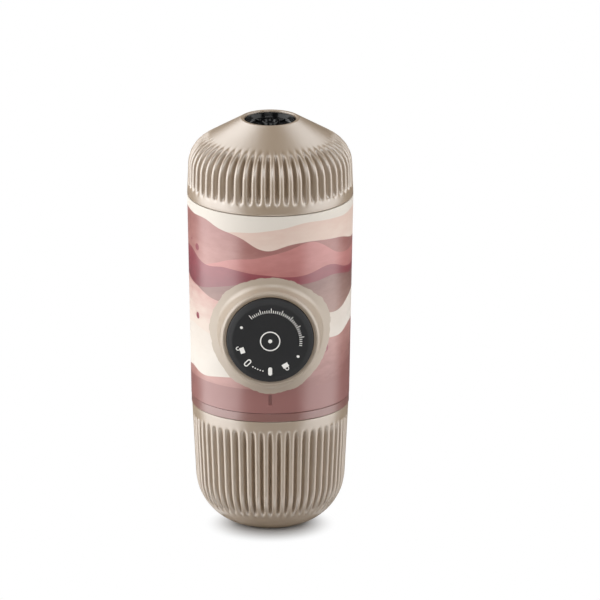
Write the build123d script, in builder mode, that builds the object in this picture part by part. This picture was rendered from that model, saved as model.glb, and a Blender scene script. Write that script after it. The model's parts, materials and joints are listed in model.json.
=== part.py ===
"""Handheld manual espresso maker, in millimetres.

The maker stands upright on the closed end of its drinking cup. From the floor up it is the cup,
the filter holder with its coloured collar, the printed body with the pump knob on its front (-Y),
and the water tank. The origin is the centre of the cup's flat base, with +Z up the body's axis.
"""

import math
import os

from build123d import *

# ---- Outer sizes ----------------------------------------------------------------------------
SEAM = 0.2  # visible joint line between two stacked shells
CUP_HEIGHT = 46.1
COLLAR_HEIGHT = 3.2
BODY_HEIGHT = 77.0
TANK_DOME_HEIGHT = 29.1
BODY_TOP_RADIUS = 31.0
BODY_TAPER = 1.5  # how much slimmer the body's bottom edge is
BODY_WALL = 2.2

# ---- Running clearances ---------------------------------------------------------------------
FIT = 0.05  # a fixed or guided part in its bore
SLIDE = 0.2  # a part that slides or turns in another
FACE_GAP = 0.1  # a seal face and what closes on it

# ---- Drinking cup ---------------------------------------------------------------------------
CUP_SETBACK = 0.3  # of the rim from the body's edge
CUP_BASE_RADIUS = 13.5
CUP_BASE_SLOPE = 20.0  # degrees above the floor
CUP_WALL_LEAN = 3.0  # degrees from upright
CUP_CORNER_RADIUS = 21.0
CUP_WALL = 3.0
CUP_FLOOR = 3.0
CUP_INNER_CORNER = 15.0

# ---- Fluting of the cup and the tank --------------------------------------------------------
FLUTE_COUNT = 54
FLUTE_RADIUS = 1.3
FLUTE_DEPTH = 1.1
CUP_FLUTE_TOP_MARGIN = 5.0  # smooth band under the rim
CUP_FLUTE_CORNER_SWEEP = 17.0  # degrees of the corner that the flute follows at full depth
CUP_FLUTE_RUNOUT = 9.0
TANK_FLUTE_BOTTOM_MARGIN = 3.6  # smooth band above the seam
TANK_FLUTE_SHOULDER_SWEEP = 45.0
TANK_FLUTE_RUNOUT = 9.0
TANK_FLUTE_TURN = -1.7  # degrees from the front, where the closed tank comes to rest

# ---- Water tank -----------------------------------------------------------------------------
TANK_LIP_RADIUS = 11.0
TANK_CONE_SLOPE = 30.0  # degrees above the horizontal
TANK_WALL_LEAN = 2.0  # degrees from upright
TANK_SHOULDER_RADIUS = 11.0
TANK_WALL = 3.2
TANK_INNER_SHOULDER = 7.0
VENT_BORE_RADIUS = 9.8
VENT_SEAT_DEPTH = 5.0
VENT_FLOOR = 2.5
VENT_WALL = 2.0
VENT_HOLE_RADIUS = 0.8
VENT_HOLE_CIRCLE = 4.2
VENT_HOLES = 6
NECK_WALL = 2.0

# ---- Vent insert and its valve --------------------------------------------------------------
INSERT_RIM_HEIGHT = 3.6
INSERT_LIFT = 1.5  # room under the insert's floor for the valve's button
INSERT_FLOOR = 1.2
INSERT_RIM_WALL = 1.3
INSERT_BOSS_RADIUS = 3.6
INSERT_BOSS_HEIGHT = 1.0
INSERT_RIB_HEIGHT = 0.5
INSERT_RIB_WIDTH = 1.0
INSERT_HOLE_CIRCLE = 5.2
INSERT_RIBS = 4
VALVE_STEM_RADIUS = 1.5
VALVE_BUTTON_RADIUS = 1.9
VALVE_DISC_RADIUS = 6.2
VALVE_DISC_THICKNESS = 0.9

# ---- Screw joints: tank in its socket, holder in the brew head ------------------------------
THREAD_STARTS = 4
TANK_LEAD = 20.0
TANK_THREAD_SPAN = 62.0  # degrees of each start
HOLDER_LEAD = 12.0
HOLDER_THREAD_SPAN = 70.0
THREAD_HEIGHT = 1.0
THREAD_ROOT = 1.5
THREAD_CREST = 0.8
THREAD_RADIAL_GAP = 0.3
THREAD_BURY = 0.4  # how far a ridge's root reaches into its wall

# ---- Socket deck under the tank -------------------------------------------------------------
DECK_THICKNESS = 2.5
SOCKET_WALL = 1.5
GASKET_THICKNESS = 2.0
TANK_GASKET_LIP = 1.6  # the gasket's reach inside the neck's bore
PORT_RADIUS = 1.6
PILLAR_Y = 8.5
PILLAR_BARREL_GAP = 0.7
PILLAR_LEDGE_GAP = 0.3
LEDGE_WIDTH = 0.7
LEDGE_HEIGHT = 1.0

# ---- Pump -----------------------------------------------------------------------------------
KNOB_RADIUS = 16.2
KNOB_PROUD = 2.5  # the knob's face in front of the boss
KNOB_CAP_THICKNESS = 3.2
KNOB_CHAMFER = 1.5
KNOB_CHAMFER_DEPTH = 1.1
TURN = 45.0  # from locked to unlocked, degrees
BOSS_RISE = 5.0  # in front of the body's bottom radius
BOSS_LENGTH = 17.5  # from its front to where its cone starts inside the body
BOSS_WALL = 1.3
BOSS_DRAFT = 6.0
BOSS_FILLET = 2.2
BOSS_EDGE = 0.7
SLEEVE_WALL = 0.7
BARREL_WALL = 0.8  # outside the keyways
BARREL_CORNER_GAP = 1.4  # from the barrel's front edge to the body
BARREL_BACK_WALL = 2.0
PLUNGER_WALL = 1.6
PLUNGER_DISC = 2.0
PLUNGER_HUB_RADIUS = 7.0
PLUNGER_HUB_LENGTH = 5.8
LUG_HEIGHT = 1.0
LUG_LENGTH = 3.0
LUG_SPAN = 24.0
LUG_SIDE_PLAY = 2.0  # degrees left on each side of a lug in its keyway
LUG_END_PLAY = 0.9  # left in front of a lug at the end of the stroke
LUG_COUNT = 3
CYLINDER_BORE_RADIUS = 6.0
CYLINDER_WALL = 2.0
CYLINDER_FLANGE_WIDTH = 2.3
CYLINDER_FLANGE = 1.7
BUSH_LENGTH = 4.5
BUSH_FLANGE = 1.7
ROD_RADIUS = 3.5
HEAD_LENGTH = 7.0
HEAD_END_PLAY = 1.2  # left behind the bush at the end of the stroke
CHAMBER_LENGTH = 4.0  # left in front of the piston when it is pushed home
SEAL_SECTION = 0.75
ROD_SCREW_RADIUS = 1.5
ROD_SCREW_LENGTH = 12.0

# ---- Valve block ----------------------------------------------------------------------------
BLOCK_HALF_WIDTH = 11.0
BLOCK_BACK_WALL = 3.4  # behind the cylinder's end
POCKET_RADIUS = 4.0
POCKET_WALL = 1.1  # in front of the valve pockets
VALVE_PORT_STEP = 3.6  # from the valves to the chamber's port
PLUG_THICKNESS = 3.0
INLET_POCKET_ROOM = 10.5
INLET_POCKET_BOTTOM_GAP = 2.3  # wall between the pump chamber and the inlet pocket
OUTLET_POCKET_TOP_GAP = 1.7  # wall between the pump chamber and the outlet pocket
POPPET_RADIUS = 3.1
POPPET_THICKNESS = 1.6
POPPET_STEM_RADIUS = 1.0
POPPET_STEM_LENGTH = 2.6
POPPET_TRAVEL = 1.2
POPPET_END_PLAY = 0.3
CHAMBER_PORT_RADIUS = 1.2

# ---- Springs --------------------------------------------------------------------------------
RETURN_SPRING_RADIUS = 12.0
RETURN_SPRING_WIRE = 0.75
RETURN_SPRING_TURNS = 9
VALVE_SPRING_RADIUS = 2.1
VALVE_SPRING_WIRE = 0.25
INLET_SPRING_TURNS = 6
OUTLET_SPRING_TURNS = 4

# ---- Brew head ------------------------------------------------------------------------------
HEAD_RISE = 12.1  # of its top above the body's bottom edge
HEAD_DISC = 3.0
HEAD_GAP = 0.3  # to the body's wall
CHAMBER_DEPTH = 1.2
CHANNEL_WIDTH = 3.0
SCREEN_THICKNESS = 0.5
SCREEN_PLAY = 0.5  # round the screen in the gasket
SCREEN_REST = 0.5  # width of the ring that the screen rests on
SCREEN_HOLE_RADIUS = 0.55
SCREEN_HOLE_PITCH = 3.4
SCREEN_SCREW_RADIUS = 1.25
SCREEN_SCREW_HEAD_RADIUS = 2.7
SCREEN_SCREW_HEAD = 1.1
FRAME_SCREW_RADIUS = 1.2
FRAME_SCREW_HEAD_RADIUS = 2.3
FRAME_SCREW_HEAD = 1.6
FRAME_SCREW_LENGTH = 12.0

# ---- Filter holder, basket and scoop --------------------------------------------------------
HOLDER_NECK_WALL = 2.1
HOLDER_WALL = 2.3
HOLDER_DEPTH = 20.9  # from the basket's seat to the floor's edge
HOLDER_FLOOR_FALL = 6.0  # of the floor from its edge to the drain
HOLDER_CONE_DROP = 2.0  # from the floor's edge to where the outside turns in
HOLDER_TIP_DROP = 5.0  # from the drain to the cone's tip
HOLDER_STEM_LENGTH = 4.0
HOLDER_STEM_RADIUS = 7.0
DRAIN_RADIUS = 3.0
COLLAR_WIDTH = 3.5  # from the flange that carries it to the body's edge
FLANGE_HEIGHT = 2.5
SPIGOT_LENGTH = 8.0
SPIGOT_WALL = 2.2
CUP_SEAL_SECTION = 0.8
CUP_SEAL_DROP = 3.2  # below the collar
NOZZLE_SOCKET_RADIUS = 4.2
NOZZLE_COLLAR = 3.0
NOZZLE_LENGTH = 8.0  # below the holder's stem
NOZZLE_TIP_RADIUS = 3.2
NOZZLE_BORE = 1.9
BASKET_SHEET = 0.6
BASKET_FLANGE = 0.8
BASKET_LIP = 3.9  # from its bore to its rolled edge
BASKET_PLAY = 0.3  # round its wall in the holder
BASKET_LIFT = 1.0  # basket floor above the holder floor
BASKET_HOLE_RADIUS = 0.6
BASKET_HOLE_PITCH = 4.2
SCOOP_PLAY = 0.3  # round the tamper in the basket
SCOOP_STEP = 0.3  # from the tamper's edge in to the scoop's wall
SCOOP_WALL = 1.5
SCOOP_TAMPER = 1.8
SCOOP_HEIGHT = 17.5
SCOOP_GRIP = 3.0
SCOOP_GRIP_DEPTH = 8.0

# ---- Index mark in the body below the knob --------------------------------------------------
MARK_WIDTH = 1.3
MARK_LENGTH = 4.2
MARK_DEPTH = 0.5
MARK_RISE = 3.2  # its lower end above the body's bottom edge

# ---- Levels worked out from the sizes above -------------------------------------------------
BODY_BOTTOM_RADIUS = BODY_TOP_RADIUS - BODY_TAPER
COLLAR_BOTTOM_Z = CUP_HEIGHT + SEAM
COLLAR_TOP_Z = COLLAR_BOTTOM_Z + COLLAR_HEIGHT
BODY_BOTTOM_Z = COLLAR_TOP_Z + SEAM
BODY_TOP_Z = BODY_BOTTOM_Z + BODY_HEIGHT
TANK_BOTTOM_Z = BODY_TOP_Z + SEAM
TOP_Z = TANK_BOTTOM_Z + TANK_DOME_HEIGHT
HEAD_TOP_Z = BODY_BOTTOM_Z + HEAD_RISE
HEAD_BOTTOM_Z = HEAD_TOP_Z - HEAD_DISC
HEAD_GASKET_BOTTOM_Z = HEAD_BOTTOM_Z - GASKET_THICKNESS
HOLDER_TOP_Z = HEAD_GASKET_BOTTOM_Z - FACE_GAP
BASKET_SEAT_Z = HOLDER_TOP_Z - BASKET_FLANGE
HOLDER_FLOOR_Z = BASKET_SEAT_Z - HOLDER_DEPTH
HOLDER_CONE_Z = HOLDER_FLOOR_Z - HOLDER_CONE_DROP
HOLDER_DRAIN_Z = HOLDER_FLOOR_Z - HOLDER_FLOOR_FALL
HOLDER_TIP_Z = HOLDER_DRAIN_Z - HOLDER_TIP_DROP
HOLDER_STEM_Z = HOLDER_TIP_Z - HOLDER_STEM_LENGTH
NOZZLE_TIP_Z = HOLDER_STEM_Z - NOZZLE_LENGTH
BASKET_FLOOR_Z = HOLDER_FLOOR_Z + BASKET_LIFT


def body_radius(z):
    """Outer radius of the tapered body at a height."""
    share = (z - BODY_BOTTOM_Z) / BODY_HEIGHT
    return BODY_BOTTOM_RADIUS + BODY_TAPER * share


def inner_radius(z):
    """Inner radius of the body's wall at a height."""
    return body_radius(z) - BODY_WALL


# ---- Radii of the brew head and the holder, inwards from the body ---------------------------
HEAD_RADIUS = min(inner_radius(BODY_BOTTOM_Z), inner_radius(HEAD_TOP_Z)) - HEAD_GAP
HEAD_SOCKET_BORE = HEAD_RADIUS - SOCKET_WALL
HOLDER_NECK_RADIUS = HEAD_SOCKET_BORE - THREAD_RADIAL_GAP - THREAD_HEIGHT
HOLDER_NECK_BORE = HOLDER_NECK_RADIUS - HOLDER_NECK_WALL
BASKET_FLANGE_RADIUS = HOLDER_NECK_BORE - SLIDE
BASKET_BORE = BASKET_FLANGE_RADIUS - BASKET_LIP
HOLDER_BORE = BASKET_BORE + BASKET_SHEET + BASKET_PLAY
HEAD_GASKET_RADIUS = HOLDER_NECK_BORE - FACE_GAP
HEAD_GASKET_BORE = BASKET_BORE + SLIDE
SCREEN_RADIUS = HEAD_GASKET_BORE - SCREEN_PLAY
CHAMBER_RADIUS = SCREEN_RADIUS - SCREEN_REST
SCOOP_TAMPER_RADIUS = BASKET_BORE - SCOOP_PLAY
SCOOP_RADIUS = SCOOP_TAMPER_RADIUS - SCOOP_STEP
FLANGE_RADIUS = BODY_BOTTOM_RADIUS - COLLAR_WIDTH
CUP_RIM_RADIUS = BODY_BOTTOM_RADIUS - CUP_SETBACK

# ---- Radii of the pump, outwards from the knob ----------------------------------------------
PUMP_BORE = KNOB_RADIUS + SLIDE
SLEEVE_RADIUS = PUMP_BORE + SLEEVE_WALL
BOSS_FRONT_RADIUS = SLEEVE_RADIUS + BOSS_WALL
LUG_RADIUS = PUMP_BORE + LUG_HEIGHT - SLIDE
KEYWAY_RADIUS = LUG_RADIUS + SLIDE
BARREL_RADIUS = KEYWAY_RADIUS + BARREL_WALL
CYLINDER_RADIUS = CYLINDER_BORE_RADIUS + CYLINDER_WALL

# ---- The pump's height, and the deck and the tank's neck above it ---------------------------
PUMP_Z = HEAD_TOP_Z + SLIDE + BARREL_RADIUS
INLET_POCKET_FLOOR_Z = PUMP_Z + CYLINDER_RADIUS + INLET_POCKET_BOTTOM_GAP
INLET_PLUG_BOTTOM_Z = INLET_POCKET_FLOOR_Z + INLET_POCKET_ROOM
DECK_BOTTOM_Z = INLET_PLUG_BOTTOM_Z + PLUG_THICKNESS
DECK_TOP_Z = DECK_BOTTOM_Z + DECK_THICKNESS
NECK_END_Z = DECK_TOP_Z + FACE_GAP + GASKET_THICKNESS
SOCKET_RADIUS = min(inner_radius(DECK_BOTTOM_Z), inner_radius(BODY_TOP_Z)) - SLIDE
SOCKET_BORE = SOCKET_RADIUS - SOCKET_WALL
NECK_RADIUS = SOCKET_BORE - THREAD_RADIAL_GAP - THREAD_HEIGHT
NECK_BORE = NECK_RADIUS - NECK_WALL
LEDGE_RADIUS = min(inner_radius(HEAD_TOP_Z), SOCKET_RADIUS) - LEDGE_WIDTH

# ---- Places along the pump's axis, outwards from the body's axis ----------------------------
BOSS_OUT = BODY_BOTTOM_RADIUS + BOSS_RISE
KNOB_FACE_OUT = BOSS_OUT + KNOB_PROUD
BLOCK_BACK_RADIUS = LEDGE_RADIUS - SLIDE
CYLINDER_END_OUT = BLOCK_BACK_WALL - BLOCK_BACK_RADIUS
PISTON_FRONT_OUT = CYLINDER_END_OUT + CHAMBER_LENGTH
CHAMBER_PORT_Y = SLIDE + CHAMBER_PORT_RADIUS - PISTON_FRONT_OUT
VALVE_Y = CHAMBER_PORT_Y - VALVE_PORT_STEP
BARREL_IN = VALVE_Y - POCKET_RADIUS - POCKET_WALL - FACE_GAP
BARREL_FLOOR_OUT = BARREL_BACK_WALL - BARREL_IN
BARREL_OUT = math.sqrt((inner_radius(PUMP_Z) - BARREL_CORNER_GAP) ** 2 - BARREL_RADIUS**2)
STROKE = BARREL_OUT - LUG_END_PLAY - LUG_LENGTH - SLIDE - BARREL_FLOOR_OUT
CYLINDER_FRONT_OUT = PISTON_FRONT_OUT + HEAD_LENGTH + STROKE + HEAD_END_PLAY + BUSH_LENGTH

# ---- Frame pillars: as stout as fits between the barrel's side and the ledge ----------------
pillar_inside = BARREL_RADIUS + PILLAR_BARREL_GAP
pillar_outside = LEDGE_RADIUS - PILLAR_LEDGE_GAP
PILLAR_RADIUS = (pillar_outside**2 - pillar_inside**2 - PILLAR_Y**2) / (
    2 * (pillar_inside + pillar_outside)
)
PILLAR_X = pillar_inside + PILLAR_RADIUS

PUMP_AXIS = Axis((0, 0, PUMP_Z), (0, -1, 0))
# The pump's profiles are drawn with x outwards along the pump's axis and y as the radius.
PUMP_PROFILE = Plane(origin=(0, 0, PUMP_Z), x_dir=(0, -1, 0), z_dir=(-1, 0, 0))


def pump_plane(out):
    """Plane square to the pump's axis, facing outwards, that far from the body's axis."""
    return Plane(origin=(0, -out, PUMP_Z), x_dir=(1, 0, 0), z_dir=(0, -1, 0))


def heading(degrees):
    """Unit direction in a sketch at an angle from its x axis."""
    return (math.cos(math.radians(degrees)), math.sin(math.radians(degrees)))


def thread_ridge(radius, side, lead, span, bottom):
    """One start of a quick thread: a helical ridge on a wall of that radius.

    side is 1 for a ridge that stands outwards and -1 for one that stands inwards.
    """
    root = radius - side * THREAD_BURY
    crest = radius + side * THREAD_HEIGHT
    with BuildPart() as ridge:
        with BuildLine() as path:
            Helix(pitch=lead, height=lead * span / 360, radius=radius, center=(0, 0, bottom))
        with BuildSketch(Plane(origin=path.line @ 0, x_dir=(1, 0, 0), z_dir=path.line % 0)):
            with BuildLine():
                Polyline(
                    (root - radius, -THREAD_ROOT / 2),
                    (crest - radius, -THREAD_CREST / 2),
                    (crest - radius, THREAD_CREST / 2),
                    (root - radius, THREAD_ROOT / 2),
                    close=True,
                )
            make_face()
        sweep(path=path.line, is_frenet=True)
    return ridge.part


def coil_spring(radius, wire, turns, low, high, plane):
    """Compression spring between two distances along a plane's normal, clear of both ends."""
    height = high - low - 2 * (wire + FIT)
    with BuildPart() as spring:
        with BuildLine() as path:
            Helix(
                pitch=height / turns,
                height=height,
                radius=radius,
                center=(plane.origin + plane.z_dir * (low + wire + FIT)),
                direction=plane.z_dir,
            )
        with BuildSketch(Plane(origin=path.line @ 0, z_dir=path.line % 0)):
            Circle(wire)
        sweep(path=path.line, is_frenet=True)
    return spring.part


def o_ring(major, section, plane):
    """Round-section sealing ring about a plane's normal."""
    with BuildPart(plane) as ring:
        Torus(major, section)
    return ring.part


def polar_mesh(pitch, limit, keep_clear):
    """Hole centres on a triangular grid, between a clear middle and an outer limit."""
    rows = int(limit / pitch) + 1
    centres = []
    for row in range(-rows, rows + 1):
        for column in range(-rows, rows + 1):
            x = (column + (row % 2) / 2) * pitch
            y = row * pitch * math.sqrt(3) / 2
            if keep_clear < math.hypot(x, y) < limit:
                centres.append((x, y))
    return centres


# ---- Drinking cup ---------------------------------------------------------------------------
CUP_WALL_HEADING = 90 - CUP_WALL_LEAN
cup_base_tan = math.tan(math.radians(CUP_BASE_SLOPE))
cup_wall_tan = math.tan(math.radians(CUP_WALL_LEAN))
# where the sloping base and the leaning wall would meet without the round corner
cup_corner_x = (
    CUP_RIM_RADIUS - (CUP_HEIGHT + CUP_BASE_RADIUS * cup_base_tan) * cup_wall_tan
) / (1 - cup_base_tan * cup_wall_tan)
cup_corner_z = (cup_corner_x - CUP_BASE_RADIUS) * cup_base_tan
cup_half_turn_tan = math.tan(math.radians((CUP_WALL_HEADING - CUP_BASE_SLOPE) / 2))
cup_base_run = math.hypot(cup_corner_x - CUP_BASE_RADIUS, cup_corner_z)
cup_corner_radius = min(CUP_CORNER_RADIUS, 0.98 * cup_base_run / cup_half_turn_tan)


def cup_wall_radius(z):
    """Outer radius of the cup's leaning wall at a height, without the round corner."""
    return CUP_RIM_RADIUS - (CUP_HEIGHT - z) * cup_wall_tan


cup_arc_run = cup_corner_radius * cup_half_turn_tan
cup_arc_top = (
    cup_corner_x + cup_arc_run * heading(CUP_WALL_HEADING)[0],
    cup_corner_z + cup_arc_run * heading(CUP_WALL_HEADING)[1],
)
FLUTE_OFFSET = FLUTE_RADIUS - FLUTE_DEPTH
cup_flute_top_z = CUP_HEIGHT - CUP_FLUTE_TOP_MARGIN - FLUTE_RADIUS
cup_flute_top = (cup_wall_radius(cup_flute_top_z) + FLUTE_OFFSET, cup_flute_top_z)

with BuildPart() as cup_flute:
    with BuildLine(Plane.XZ) as cup_flute_path:
        corner_start = (cup_arc_top[0] + FLUTE_OFFSET, cup_arc_top[1])
        wall_run = Line(cup_flute_top, corner_start)
        corner_run = JernArc(
            start=wall_run @ 1,
            tangent=wall_run % 1,
            radius=cup_corner_radius + FLUTE_OFFSET,
            arc_size=-CUP_FLUTE_CORNER_SWEEP,
        )
        Line(corner_run @ 1, corner_run @ 1 + (corner_run % 1) * CUP_FLUTE_RUNOUT)
    with BuildSketch(Plane(origin=cup_flute_path.line @ 0, z_dir=cup_flute_path.line % 0)):
        Circle(FLUTE_RADIUS)
    sweep(path=cup_flute_path.line)
    with Locations(cup_flute_path.line @ 0):
        Sphere(FLUTE_RADIUS)

with BuildPart() as drinking_cup:
    with BuildSketch(Plane.XZ):
        with BuildLine():
            outside = FilletPolyline(
                (CUP_BASE_RADIUS, 0),
                (cup_corner_x, cup_corner_z),
                (CUP_RIM_RADIUS, CUP_HEIGHT),
                radius=cup_corner_radius,
            )
            inside = FilletPolyline(
                (CUP_RIM_RADIUS - CUP_WALL, CUP_HEIGHT),
                (cup_wall_radius(CUP_FLOOR) - CUP_WALL, CUP_FLOOR),
                (0, CUP_FLOOR),
                radius=CUP_INNER_CORNER,
            )
            Line(outside @ 1, inside @ 0)
            Polyline(inside @ 1, (0, 0), outside @ 0)
        make_face()
    revolve(axis=Axis.Z)
    with PolarLocations(0, FLUTE_COUNT, start_angle=-90):
        add(cup_flute.part, mode=Mode.SUBTRACT)
drinking_cup.part.label = "drinking_cup"

# ---- Filter holder, which screws into the brew head and carries the cup ---------------------
vessel_radius = HOLDER_BORE + HOLDER_WALL
spigot_top_z = COLLAR_TOP_Z - FLANGE_HEIGHT
spigot_end_z = spigot_top_z - SPIGOT_LENGTH
spigot_radius = cup_wall_radius(spigot_end_z) - CUP_WALL - SLIDE
cup_seal_z = COLLAR_BOTTOM_Z - CUP_SEAL_DROP
cup_seal_outer = cup_wall_radius(cup_seal_z - CUP_SEAL_SECTION) - CUP_WALL - FIT
cup_seal_major = cup_seal_outer - CUP_SEAL_SECTION
cup_seal_root = cup_seal_major - CUP_SEAL_SECTION - FIT
holder_thread_z = BODY_BOTTOM_Z + THREAD_ROOT

with BuildPart() as filter_holder:
    with BuildSketch(Plane.XZ):
        with BuildLine():
            Polyline(
                (DRAIN_RADIUS, HOLDER_DRAIN_Z),
                (HOLDER_BORE, HOLDER_FLOOR_Z),
                (HOLDER_BORE, BASKET_SEAT_Z),
                (HOLDER_NECK_BORE, BASKET_SEAT_Z),
                (HOLDER_NECK_BORE, HOLDER_TOP_Z),
                (HOLDER_NECK_RADIUS, HOLDER_TOP_Z),
                (HOLDER_NECK_RADIUS, COLLAR_TOP_Z),
                (FLANGE_RADIUS, COLLAR_TOP_Z),
                (FLANGE_RADIUS, spigot_top_z),
                (spigot_radius, spigot_top_z),
                (spigot_radius, spigot_end_z),
                (spigot_radius - SPIGOT_WALL, spigot_end_z),
                (spigot_radius - SPIGOT_WALL, spigot_top_z),
                (vessel_radius, spigot_top_z),
                (vessel_radius, HOLDER_CONE_Z),
                (HOLDER_STEM_RADIUS, HOLDER_TIP_Z),
                (HOLDER_STEM_RADIUS, HOLDER_STEM_Z),
                (NOZZLE_SOCKET_RADIUS, HOLDER_STEM_Z),
                (NOZZLE_SOCKET_RADIUS, HOLDER_DRAIN_Z - DRAIN_RADIUS),
                (DRAIN_RADIUS, HOLDER_DRAIN_Z - DRAIN_RADIUS),
                close=True,
            )
        make_face()
    revolve(axis=Axis.Z)
    with BuildSketch(Plane.XY.offset(cup_seal_z - CUP_SEAL_SECTION - FIT)):
        Circle(cup_seal_outer)
        Circle(cup_seal_root, mode=Mode.SUBTRACT)
    extrude(amount=2 * (CUP_SEAL_SECTION + FIT), mode=Mode.SUBTRACT)
    with PolarLocations(0, THREAD_STARTS):
        add(thread_ridge(HOLDER_NECK_RADIUS, 1, HOLDER_LEAD, HOLDER_THREAD_SPAN, holder_thread_z))
filter_holder.part.label = "filter_holder"

with BuildPart() as holder_collar:
    with BuildSketch(Plane.XY.offset(COLLAR_BOTTOM_Z)):
        Circle(BODY_BOTTOM_RADIUS - FACE_GAP)
        Circle(FLANGE_RADIUS + FIT, mode=Mode.SUBTRACT)
    extrude(amount=COLLAR_HEIGHT)
    fillet(holder_collar.edges().filter_by(GeomType.CIRCLE).group_by(SortBy.RADIUS)[-1], SEAM)
holder_collar.part.label = "holder_collar"

with BuildPart() as cup_seal:
    add(o_ring(cup_seal_major, CUP_SEAL_SECTION, Plane.XY.offset(cup_seal_z)))
cup_seal.part.label = "cup_seal"

with BuildPart() as nozzle:
    nozzle_shoulder_z = HOLDER_STEM_Z - FIT
    nozzle_top_z = HOLDER_DRAIN_Z - DRAIN_RADIUS - FACE_GAP
    with BuildSketch(Plane.XZ):
        with BuildLine():
            Polyline(
                (NOZZLE_BORE, nozzle_top_z),
                (NOZZLE_SOCKET_RADIUS - FIT, nozzle_top_z),
                (NOZZLE_SOCKET_RADIUS - FIT, nozzle_shoulder_z),
                (HOLDER_STEM_RADIUS, nozzle_shoulder_z),
                (HOLDER_STEM_RADIUS, nozzle_shoulder_z - NOZZLE_COLLAR),
                (NOZZLE_TIP_RADIUS, NOZZLE_TIP_Z),
                (NOZZLE_BORE, NOZZLE_TIP_Z),
                close=True,
            )
        make_face()
    revolve(axis=Axis.Z)
nozzle.part.label = "nozzle"

# ---- Filter basket and the scoop stored in it -----------------------------------------------
with BuildPart() as filter_basket:
    basket_outer = BASKET_BORE + BASKET_SHEET
    with BuildSketch(Plane.XZ):
        with BuildLine():
            Polyline(
                (0, BASKET_FLOOR_Z),
                (basket_outer, BASKET_FLOOR_Z),
                (basket_outer, BASKET_SEAT_Z),
                (BASKET_FLANGE_RADIUS, BASKET_SEAT_Z),
                (BASKET_FLANGE_RADIUS, BASKET_SEAT_Z + BASKET_FLANGE),
                (BASKET_BORE, BASKET_SEAT_Z + BASKET_FLANGE),
                (BASKET_BORE, BASKET_FLOOR_Z + BASKET_SHEET),
                (0, BASKET_FLOOR_Z + BASKET_SHEET),
                close=True,
            )
        make_face()
    revolve(axis=Axis.Z)
    with BuildSketch(Plane.XY.offset(BASKET_FLOOR_Z)):
        with Locations(*polar_mesh(BASKET_HOLE_PITCH, BASKET_BORE - BASKET_HOLE_PITCH / 2, -1)):
            Circle(BASKET_HOLE_RADIUS)
    extrude(amount=BASKET_SHEET, mode=Mode.SUBTRACT)
filter_basket.part.label = "filter_basket"

with BuildPart() as scoop_tamper:
    scoop_floor_z = BASKET_FLOOR_Z + BASKET_SHEET + FACE_GAP
    scoop_top_z = scoop_floor_z + SCOOP_HEIGHT
    scoop_inner = SCOOP_RADIUS - SCOOP_WALL
    with BuildSketch(Plane.XZ):
        with BuildLine():
            Polyline(
                (0, scoop_floor_z),
                (SCOOP_TAMPER_RADIUS, scoop_floor_z),
                (SCOOP_TAMPER_RADIUS, scoop_floor_z + SCOOP_TAMPER),
                (SCOOP_RADIUS, scoop_floor_z + SCOOP_TAMPER),
                (SCOOP_RADIUS, scoop_top_z),
                (scoop_inner, scoop_top_z),
                (scoop_inner, scoop_floor_z + SCOOP_TAMPER),
                (0, scoop_floor_z + SCOOP_TAMPER),
                close=True,
            )
        make_face()
    revolve(axis=Axis.Z)
    with BuildSketch(Plane.XY.offset(scoop_top_z - SCOOP_GRIP_DEPTH)):
        Rectangle(2 * scoop_inner + SCOOP_WALL, SCOOP_GRIP)
    extrude(amount=SCOOP_GRIP_DEPTH)
scoop_tamper.part.label = "scoop_tamper"

# ---- Body shell with the boss around the knob -----------------------------------------------
boss_tan = math.tan(math.radians(BOSS_DRAFT))
boss_start_out = BOSS_OUT - BOSS_LENGTH
mark_centre_z = BODY_BOTTOM_Z + MARK_RISE + MARK_LENGTH / 2

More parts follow.
